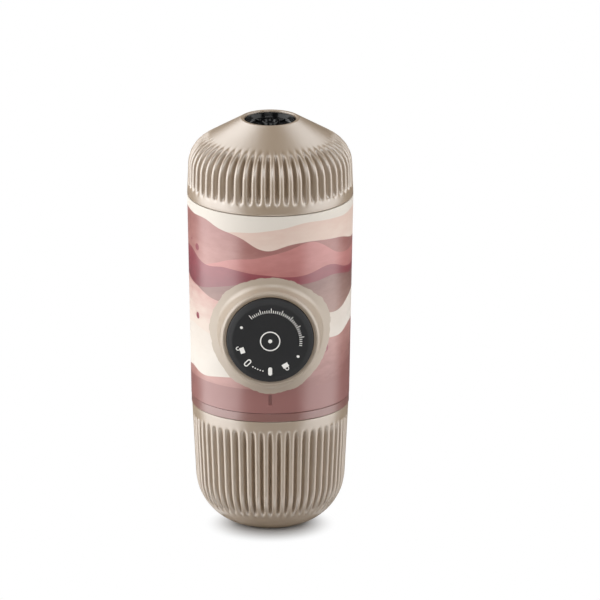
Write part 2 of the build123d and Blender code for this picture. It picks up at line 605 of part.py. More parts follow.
with BuildPart() as body_shell:
    with BuildSketch(Plane.XZ):
        with BuildLine():
            Polyline(
                (0, BODY_BOTTOM_Z),
                (BODY_BOTTOM_RADIUS, BODY_BOTTOM_Z),
                (BODY_TOP_RADIUS, BODY_TOP_Z),
                (0, BODY_TOP_Z),
                close=True,
            )
        make_face()
    revolve(axis=Axis.Z)
    with BuildSketch(PUMP_PROFILE):
        with BuildLine():
            Polyline(
                (boss_start_out, 0),
                (boss_start_out, BOSS_FRONT_RADIUS + BOSS_LENGTH * boss_tan),
                (BOSS_OUT - BOSS_EDGE, BOSS_FRONT_RADIUS + BOSS_EDGE * boss_tan),
                (BOSS_OUT, BOSS_FRONT_RADIUS - BOSS_EDGE),
                (BOSS_OUT, 0),
                close=True,
            )
        make_face()
    revolve(axis=PUMP_AXIS)
    boss_root = body_shell.edges().filter_by(GeomType.BSPLINE).sort_by(Axis.Y)[:2]
    fillet(boss_root, BOSS_FILLET)
    with BuildSketch(Plane.XZ):
        with BuildLine():
            Polyline(
                (0, BODY_BOTTOM_Z),
                (inner_radius(BODY_BOTTOM_Z), BODY_BOTTOM_Z),
                (inner_radius(HEAD_TOP_Z), HEAD_TOP_Z + FACE_GAP),
                (LEDGE_RADIUS, HEAD_TOP_Z + FACE_GAP),
                (LEDGE_RADIUS, HEAD_TOP_Z + FACE_GAP + LEDGE_HEIGHT),
                (inner_radius(HEAD_TOP_Z + LEDGE_HEIGHT), HEAD_TOP_Z + FACE_GAP + LEDGE_HEIGHT),
                (inner_radius(DECK_BOTTOM_Z - LEDGE_HEIGHT), DECK_BOTTOM_Z - LEDGE_HEIGHT),
                (LEDGE_RADIUS, DECK_BOTTOM_Z - LEDGE_HEIGHT),
                (LEDGE_RADIUS, DECK_BOTTOM_Z),
                (inner_radius(DECK_BOTTOM_Z), DECK_BOTTOM_Z),
                (inner_radius(BODY_TOP_Z), BODY_TOP_Z),
                (0, BODY_TOP_Z),
                close=True,
            )
        make_face()
    revolve(axis=Axis.Z, mode=Mode.SUBTRACT)
    with BuildSketch(pump_plane(0)):
        Circle(SLEEVE_RADIUS + FIT)
    extrude(amount=BOSS_OUT, mode=Mode.SUBTRACT)
    with BuildSketch(Plane.XZ.offset(body_radius(mark_centre_z) - MARK_DEPTH)):
        with Locations((0, mark_centre_z)):
            SlotOverall(MARK_LENGTH, MARK_WIDTH, rotation=90)
    extrude(amount=BODY_WALL, mode=Mode.SUBTRACT)
body_shell.part.label = "body_shell"

# ---- Knob sleeve in the boss, and the pump barrel behind it ---------------------------------
plunger_back_out = BARREL_FLOOR_OUT + SLIDE
plunger_front_out = KNOB_FACE_OUT - KNOB_CAP_THICKNESS


def lug_sectors(outer, start, span):
    """Sketch faces of the bayonet lugs or keyways: equal sectors round the pump's axis."""
    with BuildSketch() as sectors:
        with PolarLocations(0, LUG_COUNT, start_angle=-90):
            with BuildLine(mode=Mode.PRIVATE) as outline:
                rim = CenterArc((0, 0), outer, start, span)
                Polyline(rim @ 1, (0, 0), rim @ 0)
            make_face(outline.edges())
    return sectors.sketch


with BuildPart() as knob_sleeve:
    with BuildSketch(pump_plane(BARREL_OUT + FACE_GAP)):
        Circle(SLEEVE_RADIUS)
        Circle(PUMP_BORE, mode=Mode.SUBTRACT)
    extrude(amount=BOSS_OUT - BARREL_OUT - FACE_GAP)
knob_sleeve.part.label = "knob_sleeve"

with BuildPart() as pump_barrel:
    with BuildSketch(PUMP_PROFILE):
        with BuildLine():
            Polyline(
                (BARREL_OUT, PUMP_BORE),
                (BARREL_OUT, BARREL_RADIUS),
                (-BARREL_IN, BARREL_RADIUS),
                (-BARREL_IN, CYLINDER_RADIUS + FIT),
                (BARREL_FLOOR_OUT, CYLINDER_RADIUS + FIT),
                (BARREL_FLOOR_OUT, PUMP_BORE),
                close=True,
            )
        make_face()
    revolve(axis=PUMP_AXIS)
    with BuildSketch(pump_plane(BARREL_FLOOR_OUT)):
        add(lug_sectors(KEYWAY_RADIUS, -LUG_SPAN / 2 - LUG_SIDE_PLAY, LUG_SPAN + TURN + 2 * LUG_SIDE_PLAY))
        Circle(PUMP_BORE - SLIDE, mode=Mode.SUBTRACT)
    extrude(amount=BARREL_OUT - BARREL_FLOOR_OUT, mode=Mode.SUBTRACT)
pump_barrel.part.label = "pump_barrel"

# ---- Knob cap and plunger, which turn together ----------------------------------------------
with BuildPart() as plunger:
    hub_end_out = plunger_front_out - PLUNGER_DISC - PLUNGER_HUB_LENGTH
    inner = KNOB_RADIUS - PLUNGER_WALL
    with BuildSketch(PUMP_PROFILE):
        with BuildLine():
            Polyline(
                (plunger_front_out, ROD_SCREW_RADIUS + FIT),
                (plunger_front_out, KNOB_RADIUS),
                (plunger_back_out, KNOB_RADIUS),
                (plunger_back_out, inner),
                (plunger_front_out - PLUNGER_DISC, inner),
                (plunger_front_out - PLUNGER_DISC, PLUNGER_HUB_RADIUS),
                (hub_end_out, PLUNGER_HUB_RADIUS),
                (hub_end_out, ROD_SCREW_RADIUS + FIT),
                close=True,
            )
        make_face()
    revolve(axis=PUMP_AXIS)
    with BuildSketch(pump_plane(plunger_back_out)):
        add(lug_sectors(LUG_RADIUS, -LUG_SPAN / 2, LUG_SPAN))
        Circle(inner, mode=Mode.SUBTRACT)
    extrude(amount=LUG_LENGTH)
plunger.part.label = "plunger"

with BuildPart() as knob_cap:
    screw_well = 2 * ROD_SCREW_RADIUS + SLIDE
    with BuildSketch(PUMP_PROFILE):
        with BuildLine():
            Polyline(
                (plunger_front_out, screw_well),
                (plunger_front_out, KNOB_RADIUS),
                (KNOB_FACE_OUT - KNOB_CHAMFER_DEPTH, KNOB_RADIUS),
                (KNOB_FACE_OUT, KNOB_RADIUS - KNOB_CHAMFER),
                (KNOB_FACE_OUT, 0),
                (plunger_front_out + ROD_SCREW_RADIUS + SLIDE, 0),
                (plunger_front_out + ROD_SCREW_RADIUS + SLIDE, screw_well),
                close=True,
            )
        make_face()
    revolve(axis=PUMP_AXIS)
knob_cap.part.label = "knob_cap"

# ---- Piston rod, its seal and the screw that ties it to the plunger -------------------------
head_back_out = PISTON_FRONT_OUT + HEAD_LENGTH
groove_middle_out = PISTON_FRONT_OUT + HEAD_LENGTH / 2
head_radius = CYLINDER_BORE_RADIUS - SLIDE
piston_seal_major = CYLINDER_BORE_RADIUS - FIT - SEAL_SECTION
piston_groove_radius = piston_seal_major - SEAL_SECTION - FIT

with BuildPart() as piston_rod:
    with BuildSketch(PUMP_PROFILE):
        with BuildLine():
            Polyline(
                (PISTON_FRONT_OUT, 0),
                (PISTON_FRONT_OUT, head_radius),
                (groove_middle_out - SEAL_SECTION - FIT, head_radius),
                (groove_middle_out - SEAL_SECTION - FIT, piston_groove_radius),
                (groove_middle_out + SEAL_SECTION + FIT, piston_groove_radius),
                (groove_middle_out + SEAL_SECTION + FIT, head_radius),
                (head_back_out, head_radius),
                (head_back_out, ROD_RADIUS),
                (hub_end_out - FIT, ROD_RADIUS),
                (hub_end_out - FIT, ROD_SCREW_RADIUS + FIT),
                (plunger_front_out - ROD_SCREW_LENGTH - FIT, ROD_SCREW_RADIUS + FIT),
                (plunger_front_out - ROD_SCREW_LENGTH - FIT, 0),
                close=True,
            )
        make_face()
    revolve(axis=PUMP_AXIS)
piston_rod.part.label = "piston_rod"

with BuildPart() as piston_seal:
    add(o_ring(piston_seal_major, SEAL_SECTION, pump_plane(groove_middle_out)))
piston_seal.part.label = "piston_seal"

with BuildPart() as rod_screw:
    with BuildSketch(pump_plane(plunger_front_out - ROD_SCREW_LENGTH)):
        Circle(ROD_SCREW_RADIUS)
    extrude(amount=ROD_SCREW_LENGTH)
    with BuildSketch(pump_plane(plunger_front_out)):
        Circle(2 * ROD_SCREW_RADIUS)
        RegularPolygon(ROD_SCREW_RADIUS, 6, mode=Mode.SUBTRACT)
    extrude(amount=ROD_SCREW_RADIUS)
rod_screw.part.label = "rod_screw"

# ---- Pump cylinder, its rod bush and the return spring --------------------------------------
flange_front_out = BARREL_FLOOR_OUT + CYLINDER_FLANGE

with BuildPart() as pump_cylinder:
    with BuildSketch(PUMP_PROFILE):
        with BuildLine():
            Polyline(
                (CYLINDER_FRONT_OUT, CYLINDER_BORE_RADIUS),
                (CYLINDER_FRONT_OUT, CYLINDER_RADIUS),
                (flange_front_out, CYLINDER_RADIUS),
                (flange_front_out, CYLINDER_RADIUS + CYLINDER_FLANGE_WIDTH),
                (BARREL_FLOOR_OUT, CYLINDER_RADIUS + CYLINDER_FLANGE_WIDTH),
                (BARREL_FLOOR_OUT, CYLINDER_RADIUS),
                (CYLINDER_END_OUT, CYLINDER_RADIUS),
                (CYLINDER_END_OUT, CYLINDER_BORE_RADIUS),
                close=True,
            )
        make_face()
    revolve(axis=PUMP_AXIS)
    with BuildSketch(Plane(origin=(0, CHAMBER_PORT_Y, PUMP_Z - 2 * CYLINDER_RADIUS))):
        Circle(CHAMBER_PORT_RADIUS)
    extrude(amount=4 * CYLINDER_RADIUS, mode=Mode.SUBTRACT)
pump_cylinder.part.label = "pump_cylinder"

with BuildPart() as rod_bush:
    with BuildSketch(pump_plane(CYLINDER_FRONT_OUT - BUSH_LENGTH)):
        Circle(CYLINDER_BORE_RADIUS - FIT)
        Circle(ROD_RADIUS + FIT, mode=Mode.SUBTRACT)
    extrude(amount=BUSH_LENGTH)
    with BuildSketch(pump_plane(CYLINDER_FRONT_OUT)):
        Circle(CYLINDER_RADIUS)
        Circle(ROD_RADIUS + FIT, mode=Mode.SUBTRACT)
    extrude(amount=BUSH_FLANGE)
rod_bush.part.label = "rod_bush"

return_spring_part = coil_spring(
    RETURN_SPRING_RADIUS,
    RETURN_SPRING_WIRE,
    RETURN_SPRING_TURNS,
    BARREL_FLOOR_OUT,
    plunger_front_out - PLUNGER_DISC,
    pump_plane(0),
)
with BuildPart() as return_spring:
    add(return_spring_part)
return_spring.part.label = "return_spring"

# ---- Valve block behind the pump, between the deck and the brew head ------------------------
block_front_out = -BARREL_IN - FACE_GAP
outlet_pocket_top_z = PUMP_Z - CYLINDER_RADIUS - OUTLET_POCKET_TOP_GAP
outlet_plug_top_z = HEAD_TOP_Z + PLUG_THICKNESS

with BuildPart() as valve_block:
    with BuildSketch(Plane.XY.offset(HEAD_TOP_Z)):
        Circle(BLOCK_BACK_RADIUS)
        with Locations((0, -block_front_out)):
            Rectangle(
                2 * BLOCK_HALF_WIDTH,
                BLOCK_BACK_RADIUS,
                align=(Align.CENTER, Align.MIN),
                mode=Mode.INTERSECT,
            )
    extrude(amount=DECK_BOTTOM_Z - HEAD_TOP_Z)
    with BuildSketch(pump_plane(block_front_out)):
        Circle(CYLINDER_RADIUS + FIT)
    extrude(amount=CYLINDER_END_OUT - FACE_GAP - block_front_out, mode=Mode.SUBTRACT)
    with BuildSketch(Plane.XY.offset(INLET_POCKET_FLOOR_Z)):
        with Locations((0, VALVE_Y)):
            Circle(POCKET_RADIUS)
    extrude(amount=DECK_BOTTOM_Z - INLET_POCKET_FLOOR_Z, mode=Mode.SUBTRACT)
    with BuildSketch(Plane.XY.offset(HEAD_TOP_Z)):
        with Locations((0, VALVE_Y)):
            Circle(POCKET_RADIUS)
    extrude(amount=outlet_pocket_top_z - HEAD_TOP_Z, mode=Mode.SUBTRACT)
    with BuildSketch(Plane.XY.offset(INLET_POCKET_FLOOR_Z)):
        with Locations((0, CHAMBER_PORT_Y - CHAMBER_PORT_RADIUS)):
            Circle(CHAMBER_PORT_RADIUS)
    extrude(amount=PUMP_Z - INLET_POCKET_FLOOR_Z, mode=Mode.SUBTRACT)
    with BuildSketch(Plane.XY.offset(outlet_pocket_top_z)):
        with Locations((0, VALVE_Y)):
            Circle(CHAMBER_PORT_RADIUS)
        with Locations((0, CHAMBER_PORT_Y - CHAMBER_PORT_RADIUS)):
            Circle(CHAMBER_PORT_RADIUS)
        with Locations((0, (VALVE_Y + CHAMBER_PORT_Y - CHAMBER_PORT_RADIUS) / 2)):
            Rectangle(2 * CHAMBER_PORT_RADIUS, CHAMBER_PORT_Y - CHAMBER_PORT_RADIUS - VALVE_Y)
    extrude(amount=PUMP_Z - outlet_pocket_top_z, mode=Mode.SUBTRACT)
valve_block.part.label = "valve_block"

with BuildPart() as inlet_plug:
    with BuildSketch(Plane.XY.offset(INLET_PLUG_BOTTOM_Z)):
        with Locations((0, VALVE_Y)):
            Circle(POCKET_RADIUS - FIT)
            Circle(PORT_RADIUS, mode=Mode.SUBTRACT)
    extrude(amount=PLUG_THICKNESS)
inlet_plug.part.label = "inlet_plug"

with BuildPart() as outlet_plug:
    with BuildSketch(Plane.XY.offset(HEAD_TOP_Z)):
        with Locations((0, VALVE_Y)):
            Circle(POCKET_RADIUS - FIT)
            Circle(PORT_RADIUS, mode=Mode.SUBTRACT)
    extrude(amount=PLUG_THICKNESS)
outlet_plug.part.label = "outlet_plug"

inlet_poppet_bottom_z = INLET_PLUG_BOTTOM_Z - POPPET_THICKNESS
outlet_poppet_bottom_z = outlet_pocket_top_z - POPPET_THICKNESS
outlet_stem_length = outlet_poppet_bottom_z - outlet_plug_top_z - POPPET_TRAVEL - POPPET_END_PLAY

with BuildPart() as inlet_valve:
    with BuildSketch(Plane.XY.offset(inlet_poppet_bottom_z)):
        with Locations((0, VALVE_Y)):
            Circle(POPPET_RADIUS)
    extrude(amount=POPPET_THICKNESS)
    with BuildSketch(Plane.XY.offset(inlet_poppet_bottom_z - POPPET_STEM_LENGTH)):
        with Locations((0, VALVE_Y)):
            Circle(POPPET_STEM_RADIUS)
    extrude(amount=POPPET_STEM_LENGTH)
inlet_valve.part.label = "inlet_valve"

with BuildPart() as outlet_valve:
    with BuildSketch(Plane.XY.offset(outlet_poppet_bottom_z)):
        with Locations((0, VALVE_Y)):
            Circle(POPPET_RADIUS)
    extrude(amount=POPPET_THICKNESS)
    with BuildSketch(Plane.XY.offset(outlet_poppet_bottom_z - outlet_stem_length)):
        with Locations((0, VALVE_Y)):
            Circle(POPPET_STEM_RADIUS)
    extrude(amount=outlet_stem_length)
outlet_valve.part.label = "outlet_valve"

with BuildPart() as inlet_spring:
    add(
        coil_spring(
            VALVE_SPRING_RADIUS,
            VALVE_SPRING_WIRE,
            INLET_SPRING_TURNS,
            INLET_POCKET_FLOOR_Z,
            inlet_poppet_bottom_z,
            Plane(origin=(0, VALVE_Y, 0)),
        )
    )
inlet_spring.part.label = "inlet_spring"

with BuildPart() as outlet_spring:
    add(
        coil_spring(
            VALVE_SPRING_RADIUS,
            VALVE_SPRING_WIRE,
            OUTLET_SPRING_TURNS,
            outlet_plug_top_z,
            outlet_poppet_bottom_z,
            Plane(origin=(0, VALVE_Y, 0)),
        )
    )
outlet_spring.part.label = "outlet_spring"

# ---- Tank socket: the deck that the tank screws into, with the pillars of the frame ---------
socket_top_z = BODY_TOP_Z - SEAM
tank_thread_z = NECK_END_Z + THREAD_ROOT
tank_thread_rise = TANK_LEAD / THREAD_STARTS
pillar_spots = [(x, y) for x in (-PILLAR_X, PILLAR_X) for y in (-PILLAR_Y, PILLAR_Y)]

with BuildPart() as tank_socket:
    with BuildSketch(Plane.XY.offset(DECK_BOTTOM_Z)):
        Circle(SOCKET_RADIUS)
        with Locations((0, VALVE_Y)):
            Circle(PORT_RADIUS, mode=Mode.SUBTRACT)
    extrude(amount=DECK_THICKNESS)
    with BuildSketch(Plane.XY.offset(DECK_TOP_Z)):
        Circle(SOCKET_RADIUS)
        Circle(SOCKET_BORE, mode=Mode.SUBTRACT)
    extrude(amount=socket_top_z - DECK_TOP_Z)
    with PolarLocations(0, THREAD_STARTS, start_angle=TANK_THREAD_SPAN / 2):
        add(
            thread_ridge(
                SOCKET_BORE,
                -1,
                TANK_LEAD,
                TANK_THREAD_SPAN,
                tank_thread_z + tank_thread_rise / 2 + TANK_LEAD * TANK_THREAD_SPAN / 720,
            )
        )
    with BuildSketch(Plane.XY.offset(HEAD_TOP_Z)):
        with Locations(*pillar_spots):
            Circle(PILLAR_RADIUS)
    extrude(amount=DECK_BOTTOM_Z - HEAD_TOP_Z)
    with BuildSketch(Plane.XY.offset(HEAD_TOP_Z)):
        with Locations(*pillar_spots):
            Circle(FRAME_SCREW_RADIUS + FIT)
    extrude(amount=FRAME_SCREW_LENGTH, mode=Mode.SUBTRACT)
tank_socket.part.label = "tank_socket"

with BuildPart() as inlet_strainer:
    with BuildSketch(Plane.XY.offset(DECK_TOP_Z)):
        with Locations((0, VALVE_Y)):
            Circle(POCKET_RADIUS)
            with PolarLocations(POCKET_RADIUS / 2, 6):
                Circle(SCREEN_HOLE_RADIUS, mode=Mode.SUBTRACT)
            Circle(SCREEN_HOLE_RADIUS, mode=Mode.SUBTRACT)
    extrude(amount=SCREEN_THICKNESS)
inlet_strainer.part.label = "inlet_strainer"

with BuildPart() as tank_gasket:
    with BuildSketch(Plane.XY.offset(DECK_TOP_Z + FACE_GAP)):
        Circle(NECK_RADIUS)
        Circle(NECK_BORE - TANK_GASKET_LIP, mode=Mode.SUBTRACT)
    extrude(amount=GASKET_THICKNESS)
tank_gasket.part.label = "tank_gasket"

# ---- Brew head: the lower socket, with the shower screen and the frame screws ---------------
with BuildPart() as brew_head:
    with BuildSketch(Plane.XY.offset(HEAD_BOTTOM_Z)):
        Circle(HEAD_RADIUS)
    extrude(amount=HEAD_DISC)
    with BuildSketch(Plane.XY.offset(BODY_BOTTOM_Z + SEAM)):
        Circle(HEAD_RADIUS)
        Circle(HEAD_SOCKET_BORE, mode=Mode.SUBTRACT)
    extrude(amount=HEAD_BOTTOM_Z - BODY_BOTTOM_Z - SEAM)
    with PolarLocations(0, THREAD_STARTS, start_angle=HOLDER_THREAD_SPAN / 2):
        add(
            thread_ridge(
                HEAD_SOCKET_BORE,
                -1,
                HOLDER_LEAD,
                HOLDER_THREAD_SPAN,
                holder_thread_z
                + HOLDER_LEAD / THREAD_STARTS / 2
                + HOLDER_LEAD * HOLDER_THREAD_SPAN / 720,
            )
        )
    with BuildSketch(Plane.XY.offset(HEAD_BOTTOM_Z)):
        Circle(CHAMBER_RADIUS)
        with Locations((0, VALVE_Y)):
            SlotCenterToCenter(CHANNEL_WIDTH, CHANNEL_WIDTH, rotation=90)
        Circle(CHANNEL_WIDTH, mode=Mode.SUBTRACT)
    extrude(amount=CHAMBER_DEPTH, mode=Mode.SUBTRACT)
    with BuildSketch(Plane.XY.offset(HEAD_BOTTOM_Z)):
        Circle(SCREEN_SCREW_RADIUS + FIT)
        with Locations((0, VALVE_Y)):
            Circle(PORT_RADIUS)
        with Locations(*pillar_spots):
            Circle(FRAME_SCREW_RADIUS + FIT)
    extrude(amount=HEAD_DISC, mode=Mode.SUBTRACT)
    with BuildSketch(Plane.XY.offset(HEAD_BOTTOM_Z)):
        with Locations(*pillar_spots):
            Circle(FRAME_SCREW_HEAD_RADIUS + FIT)
    extrude(amount=FRAME_SCREW_HEAD, mode=Mode.SUBTRACT)
brew_head.part.label = "brew_head"

with BuildPart() as head_gasket:
    with BuildSketch(Plane.XY.offset(HEAD_GASKET_BOTTOM_Z)):
        Circle(HEAD_GASKET_RADIUS)
        Circle(HEAD_GASKET_BORE, mode=Mode.SUBTRACT)
    extrude(amount=GASKET_THICKNESS)
head_gasket.part.label = "head_gasket"

with BuildPart() as shower_screen:
    with BuildSketch(Plane.XY.offset(HEAD_BOTTOM_Z - SCREEN_THICKNESS)):
        Circle(SCREEN_RADIUS)
        Circle(SCREEN_SCREW_RADIUS + FIT, mode=Mode.SUBTRACT)
        with Locations(*polar_mesh(SCREEN_HOLE_PITCH, CHAMBER_RADIUS - 1, CHANNEL_WIDTH)):
            Circle(SCREEN_HOLE_RADIUS, mode=Mode.SUBTRACT)
    extrude(amount=SCREEN_THICKNESS)
shower_screen.part.label = "shower_screen"

with BuildPart() as screen_screw:
    screw_seat_z = HEAD_BOTTOM_Z - SCREEN_THICKNESS
    with BuildSketch(Plane.XY.offset(screw_seat_z - SCREEN_SCREW_HEAD)):
        Circle(SCREEN_SCREW_HEAD_RADIUS)
    extrude(amount=SCREEN_SCREW_HEAD)
    with BuildSketch(Plane.XY.offset(screw_seat_z)):
        Circle(SCREEN_SCREW_RADIUS)
    extrude(amount=HEAD_DISC)
    with BuildSketch(Plane.XY.offset(screw_seat_z - SCREEN_SCREW_HEAD)):
        Rectangle(2 * SCREEN_SCREW_HEAD_RADIUS, SCREEN_THICKNESS)
    extrude(amount=SCREEN_THICKNESS, mode=Mode.SUBTRACT)
screen_screw.part.label = "screen_screw"

with BuildPart() as frame_screws:
    with BuildSketch(Plane.XY.offset(HEAD_BOTTOM_Z)):
        with Locations(*pillar_spots):
            Circle(FRAME_SCREW_HEAD_RADIUS)
    extrude(amount=FRAME_SCREW_HEAD)
    with BuildSketch(Plane.XY.offset(HEAD_BOTTOM_Z + FRAME_SCREW_HEAD)):
        with Locations(*pillar_spots):
            Circle(FRAME_SCREW_RADIUS)
    extrude(amount=FRAME_SCREW_LENGTH)
    with BuildSketch(Plane.XY.offset(HEAD_BOTTOM_Z)):
        with Locations(*pillar_spots):
            RegularPolygon(FRAME_SCREW_RADIUS, 6)
    extrude(amount=FRAME_SCREW_HEAD / 2, mode=Mode.SUBTRACT)
frame_screws.part.label = "frame_screws"

# ---- Water tank -----------------------------------------------------------------------------
TANK_WALL_HEADING = 90 + TANK_WALL_LEAN
tank_cone_tan = math.tan(math.radians(TANK_CONE_SLOPE))
tank_wall_tan = math.tan(math.radians(TANK_WALL_LEAN))
# where the leaning wall and the cone would meet without the round shoulder
tank_corner_z = (
    TOP_Z + (TANK_LIP_RADIUS - BODY_TOP_RADIUS - TANK_BOTTOM_Z * tank_wall_tan) * tank_cone_tan
) / (1 - tank_wall_tan * tank_cone_tan)
tank_corner_x = BODY_TOP_RADIUS - (tank_corner_z - TANK_BOTTOM_Z) * tank_wall_tan
tank_turn = 180 - TANK_CONE_SLOPE - TANK_WALL_HEADING
tank_arc_run = TANK_SHOULDER_RADIUS * math.tan(math.radians(tank_turn / 2))
tank_arc_start = (
    tank_corner_x - tank_arc_run * heading(TANK_WALL_HEADING)[0] + FLUTE_OFFSET,
    tank_corner_z - tank_arc_run * heading(TANK_WALL_HEADING)[1],
)
tank_flute_low_z = TANK_BOTTOM_Z + TANK_FLUTE_BOTTOM_MARGIN + FLUTE_RADIUS
tank_flute_low = (
    BODY_TOP_RADIUS - (tank_flute_low_z - TANK_BOTTOM_Z) * tank_wall_tan + FLUTE_OFFSET,
    tank_flute_low_z,
)

with BuildPart() as tank_flute:
    with BuildLine(Plane.XZ) as tank_flute_path:
        side_run = Line(tank_flute_low, tank_arc_start)
        shoulder_run = JernArc(
            start=side_run @ 1,
            tangent=side_run % 1,
            radius=TANK_SHOULDER_RADIUS + FLUTE_OFFSET,
            arc_size=TANK_FLUTE_SHOULDER_SWEEP,
        )
        Line(shoulder_run @ 1, shoulder_run @ 1 + (shoulder_run % 1) * TANK_FLUTE_RUNOUT)
    with BuildSketch(Plane(origin=tank_flute_path.line @ 0, z_dir=tank_flute_path.line % 0)):
        Circle(FLUTE_RADIUS)
    sweep(path=tank_flute_path.line)
    with Locations(tank_flute_path.line @ 0):
        Sphere(FLUTE_RADIUS)

vent_seat_z = TOP_Z - VENT_SEAT_DEPTH
vent_under_z = vent_seat_z - VENT_FLOOR
pocket_outer = VENT_BORE_RADIUS + VENT_WALL
tank_wall_drop = TANK_WALL / math.cos(math.radians(TANK_CONE_SLOPE))
tank_inner_radius = tank_corner_x - TANK_WALL
cone_inner_z = TOP_Z - tank_wall_drop

with BuildPart() as water_tank:
    with BuildSketch(Plane.XZ):
        with BuildLine():
            tank_outside = FilletPolyline(
                (BODY_TOP_RADIUS, TANK_BOTTOM_Z),
                (tank_corner_x, tank_corner_z),
                (TANK_LIP_RADIUS, TOP_Z),
                radius=TANK_SHOULDER_RADIUS,
            )
            tank_inside = FilletPolyline(
                (pocket_outer, cone_inner_z - (pocket_outer - TANK_LIP_RADIUS) * tank_cone_tan),
                (
                    tank_inner_radius,
                    cone_inner_z - (tank_inner_radius - TANK_LIP_RADIUS) * tank_cone_tan,
                ),
                (tank_inner_radius, TANK_BOTTOM_Z + TANK_WALL + NECK_WALL),
                radius=TANK_INNER_SHOULDER,
            )
            Polyline(
                tank_outside @ 1,
                (VENT_BORE_RADIUS, TOP_Z),
                (VENT_BORE_RADIUS, vent_seat_z),
                (0, vent_seat_z),
                (0, vent_under_z),
                (pocket_outer, vent_under_z),
                tank_inside @ 0,
            )
            Polyline(
                tank_inside @ 1,
                (NECK_BORE, TANK_BOTTOM_Z),
                (NECK_BORE, NECK_END_Z),
                (NECK_RADIUS, NECK_END_Z),
                (NECK_RADIUS, TANK_BOTTOM_Z),
                tank_outside @ 0,
            )
        make_face()
    revolve(axis=Axis.Z)
    with PolarLocations(0, FLUTE_COUNT, start_angle=-90 + TANK_FLUTE_TURN):
        add(tank_flute.part, mode=Mode.SUBTRACT)
    with PolarLocations(0, THREAD_STARTS):
        add(thread_ridge(NECK_RADIUS, 1, TANK_LEAD, TANK_THREAD_SPAN, tank_thread_z))
    with BuildSketch(Plane.XY.offset(vent_under_z)):
        Circle(VALVE_STEM_RADIUS + FIT)
        with PolarLocations(VENT_HOLE_CIRCLE, VENT_HOLES):
            Circle(VENT_HOLE_RADIUS)
    extrude(amount=VENT_FLOOR, mode=Mode.SUBTRACT)
water_tank.part.label = "water_tank"

# ---- Vent insert and umbrella valve in the tank's closed end --------------------------------
with BuildPart() as vent_insert:
    insert_radius = VENT_BORE_RADIUS - FIT
    insert_floor_z = vent_seat_z + INSERT_LIFT
    with BuildSketch(Plane.XY.offset(vent_seat_z)):
        Circle(insert_radius)
        Circle(insert_radius - INSERT_RIM_WALL, mode=Mode.SUBTRACT)
    extrude(amount=INSERT_RIM_HEIGHT)
    with BuildSketch(Plane.XY.offset(insert_floor_z)):
        Circle(insert_radius)
        with PolarLocations(INSERT_HOLE_CIRCLE, VENT_HOLES):
            Circle(VENT_HOLE_RADIUS, mode=Mode.SUBTRACT)
    extrude(amount=INSERT_FLOOR)
    with BuildSketch(Plane.XY.offset(insert_floor_z)):
        Circle(INSERT_BOSS_RADIUS)
    extrude(amount=INSERT_FLOOR + INSERT_BOSS_HEIGHT)
    with BuildSketch(Plane.XY.offset(insert_floor_z)):
        with PolarLocations((insert_radius + INSERT_BOSS_RADIUS) / 2, INSERT_RIBS, start_angle=45):
            Rectangle(insert_radius - INSERT_BOSS_RADIUS, INSERT_RIB_WIDTH)
    extrude(amount=INSERT_FLOOR + INSERT_RIB_HEIGHT)
vent_insert.part.label = "vent_insert"

with BuildPart() as vent_valve:
    with BuildSketch(Plane.XY.offset(vent_under_z - FACE_GAP - VALVE_DISC_THICKNESS)):
        Circle(VALVE_DISC_RADIUS)
    extrude(amount=VALVE_DISC_THICKNESS)
    with BuildSketch(Plane.XY.offset(vent_under_z - FACE_GAP)):
        Circle(VALVE_STEM_RADIUS)
    extrude(amount=VENT_FLOOR + 2 * FACE_GAP)
    with BuildSketch(Plane.XY.offset(vent_seat_z + FACE_GAP)):
        Circle(VALVE_BUTTON_RADIUS)
    extrude(amount=VALVE_DISC_THICKNESS)
vent_valve.part.label = "vent_valve"

# ---- One STEP file for each piece -----------------------------------------------------------
pieces = (
    drinking_cup,
    filter_holder,
    holder_collar,
    cup_seal,
    nozzle,
    filter_basket,
    scoop_tamper,
    body_shell,
    knob_sleeve,
    pump_barrel,
    plunger,
    knob_cap,
    piston_rod,
    piston_seal,
    rod_screw,
    pump_cylinder,
    rod_bush,
    return_spring,
    valve_block,
    inlet_plug,
    outlet_plug,
    inlet_valve,
    outlet_valve,
    inlet_spring,
    outlet_spring,
    tank_socket,
    inlet_strainer,
    tank_gasket,
    brew_head,
    head_gasket,
    shower_screen,
    screen_screw,
    frame_screws,
    water_tank,
    vent_insert,
    vent_valve,
)
os.makedirs("parts", exist_ok=True)
for piece in pieces:
    export_step(piece.part, f"parts/{piece.part.label}.step")
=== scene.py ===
"""Looks of the handheld manual espresso maker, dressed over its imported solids.

Sizes are in millimetres and every finished mesh is scaled to metres. +Z runs up the body's axis
from the flat end of the cup, and the pump points along -Y.
"""

import json
import logging
import math
from dataclasses import dataclass, field
from enum import Enum
from functools import cache
from typing import Iterable, Sequence

import bmesh
import bpy
from mathutils import Matrix, Vector


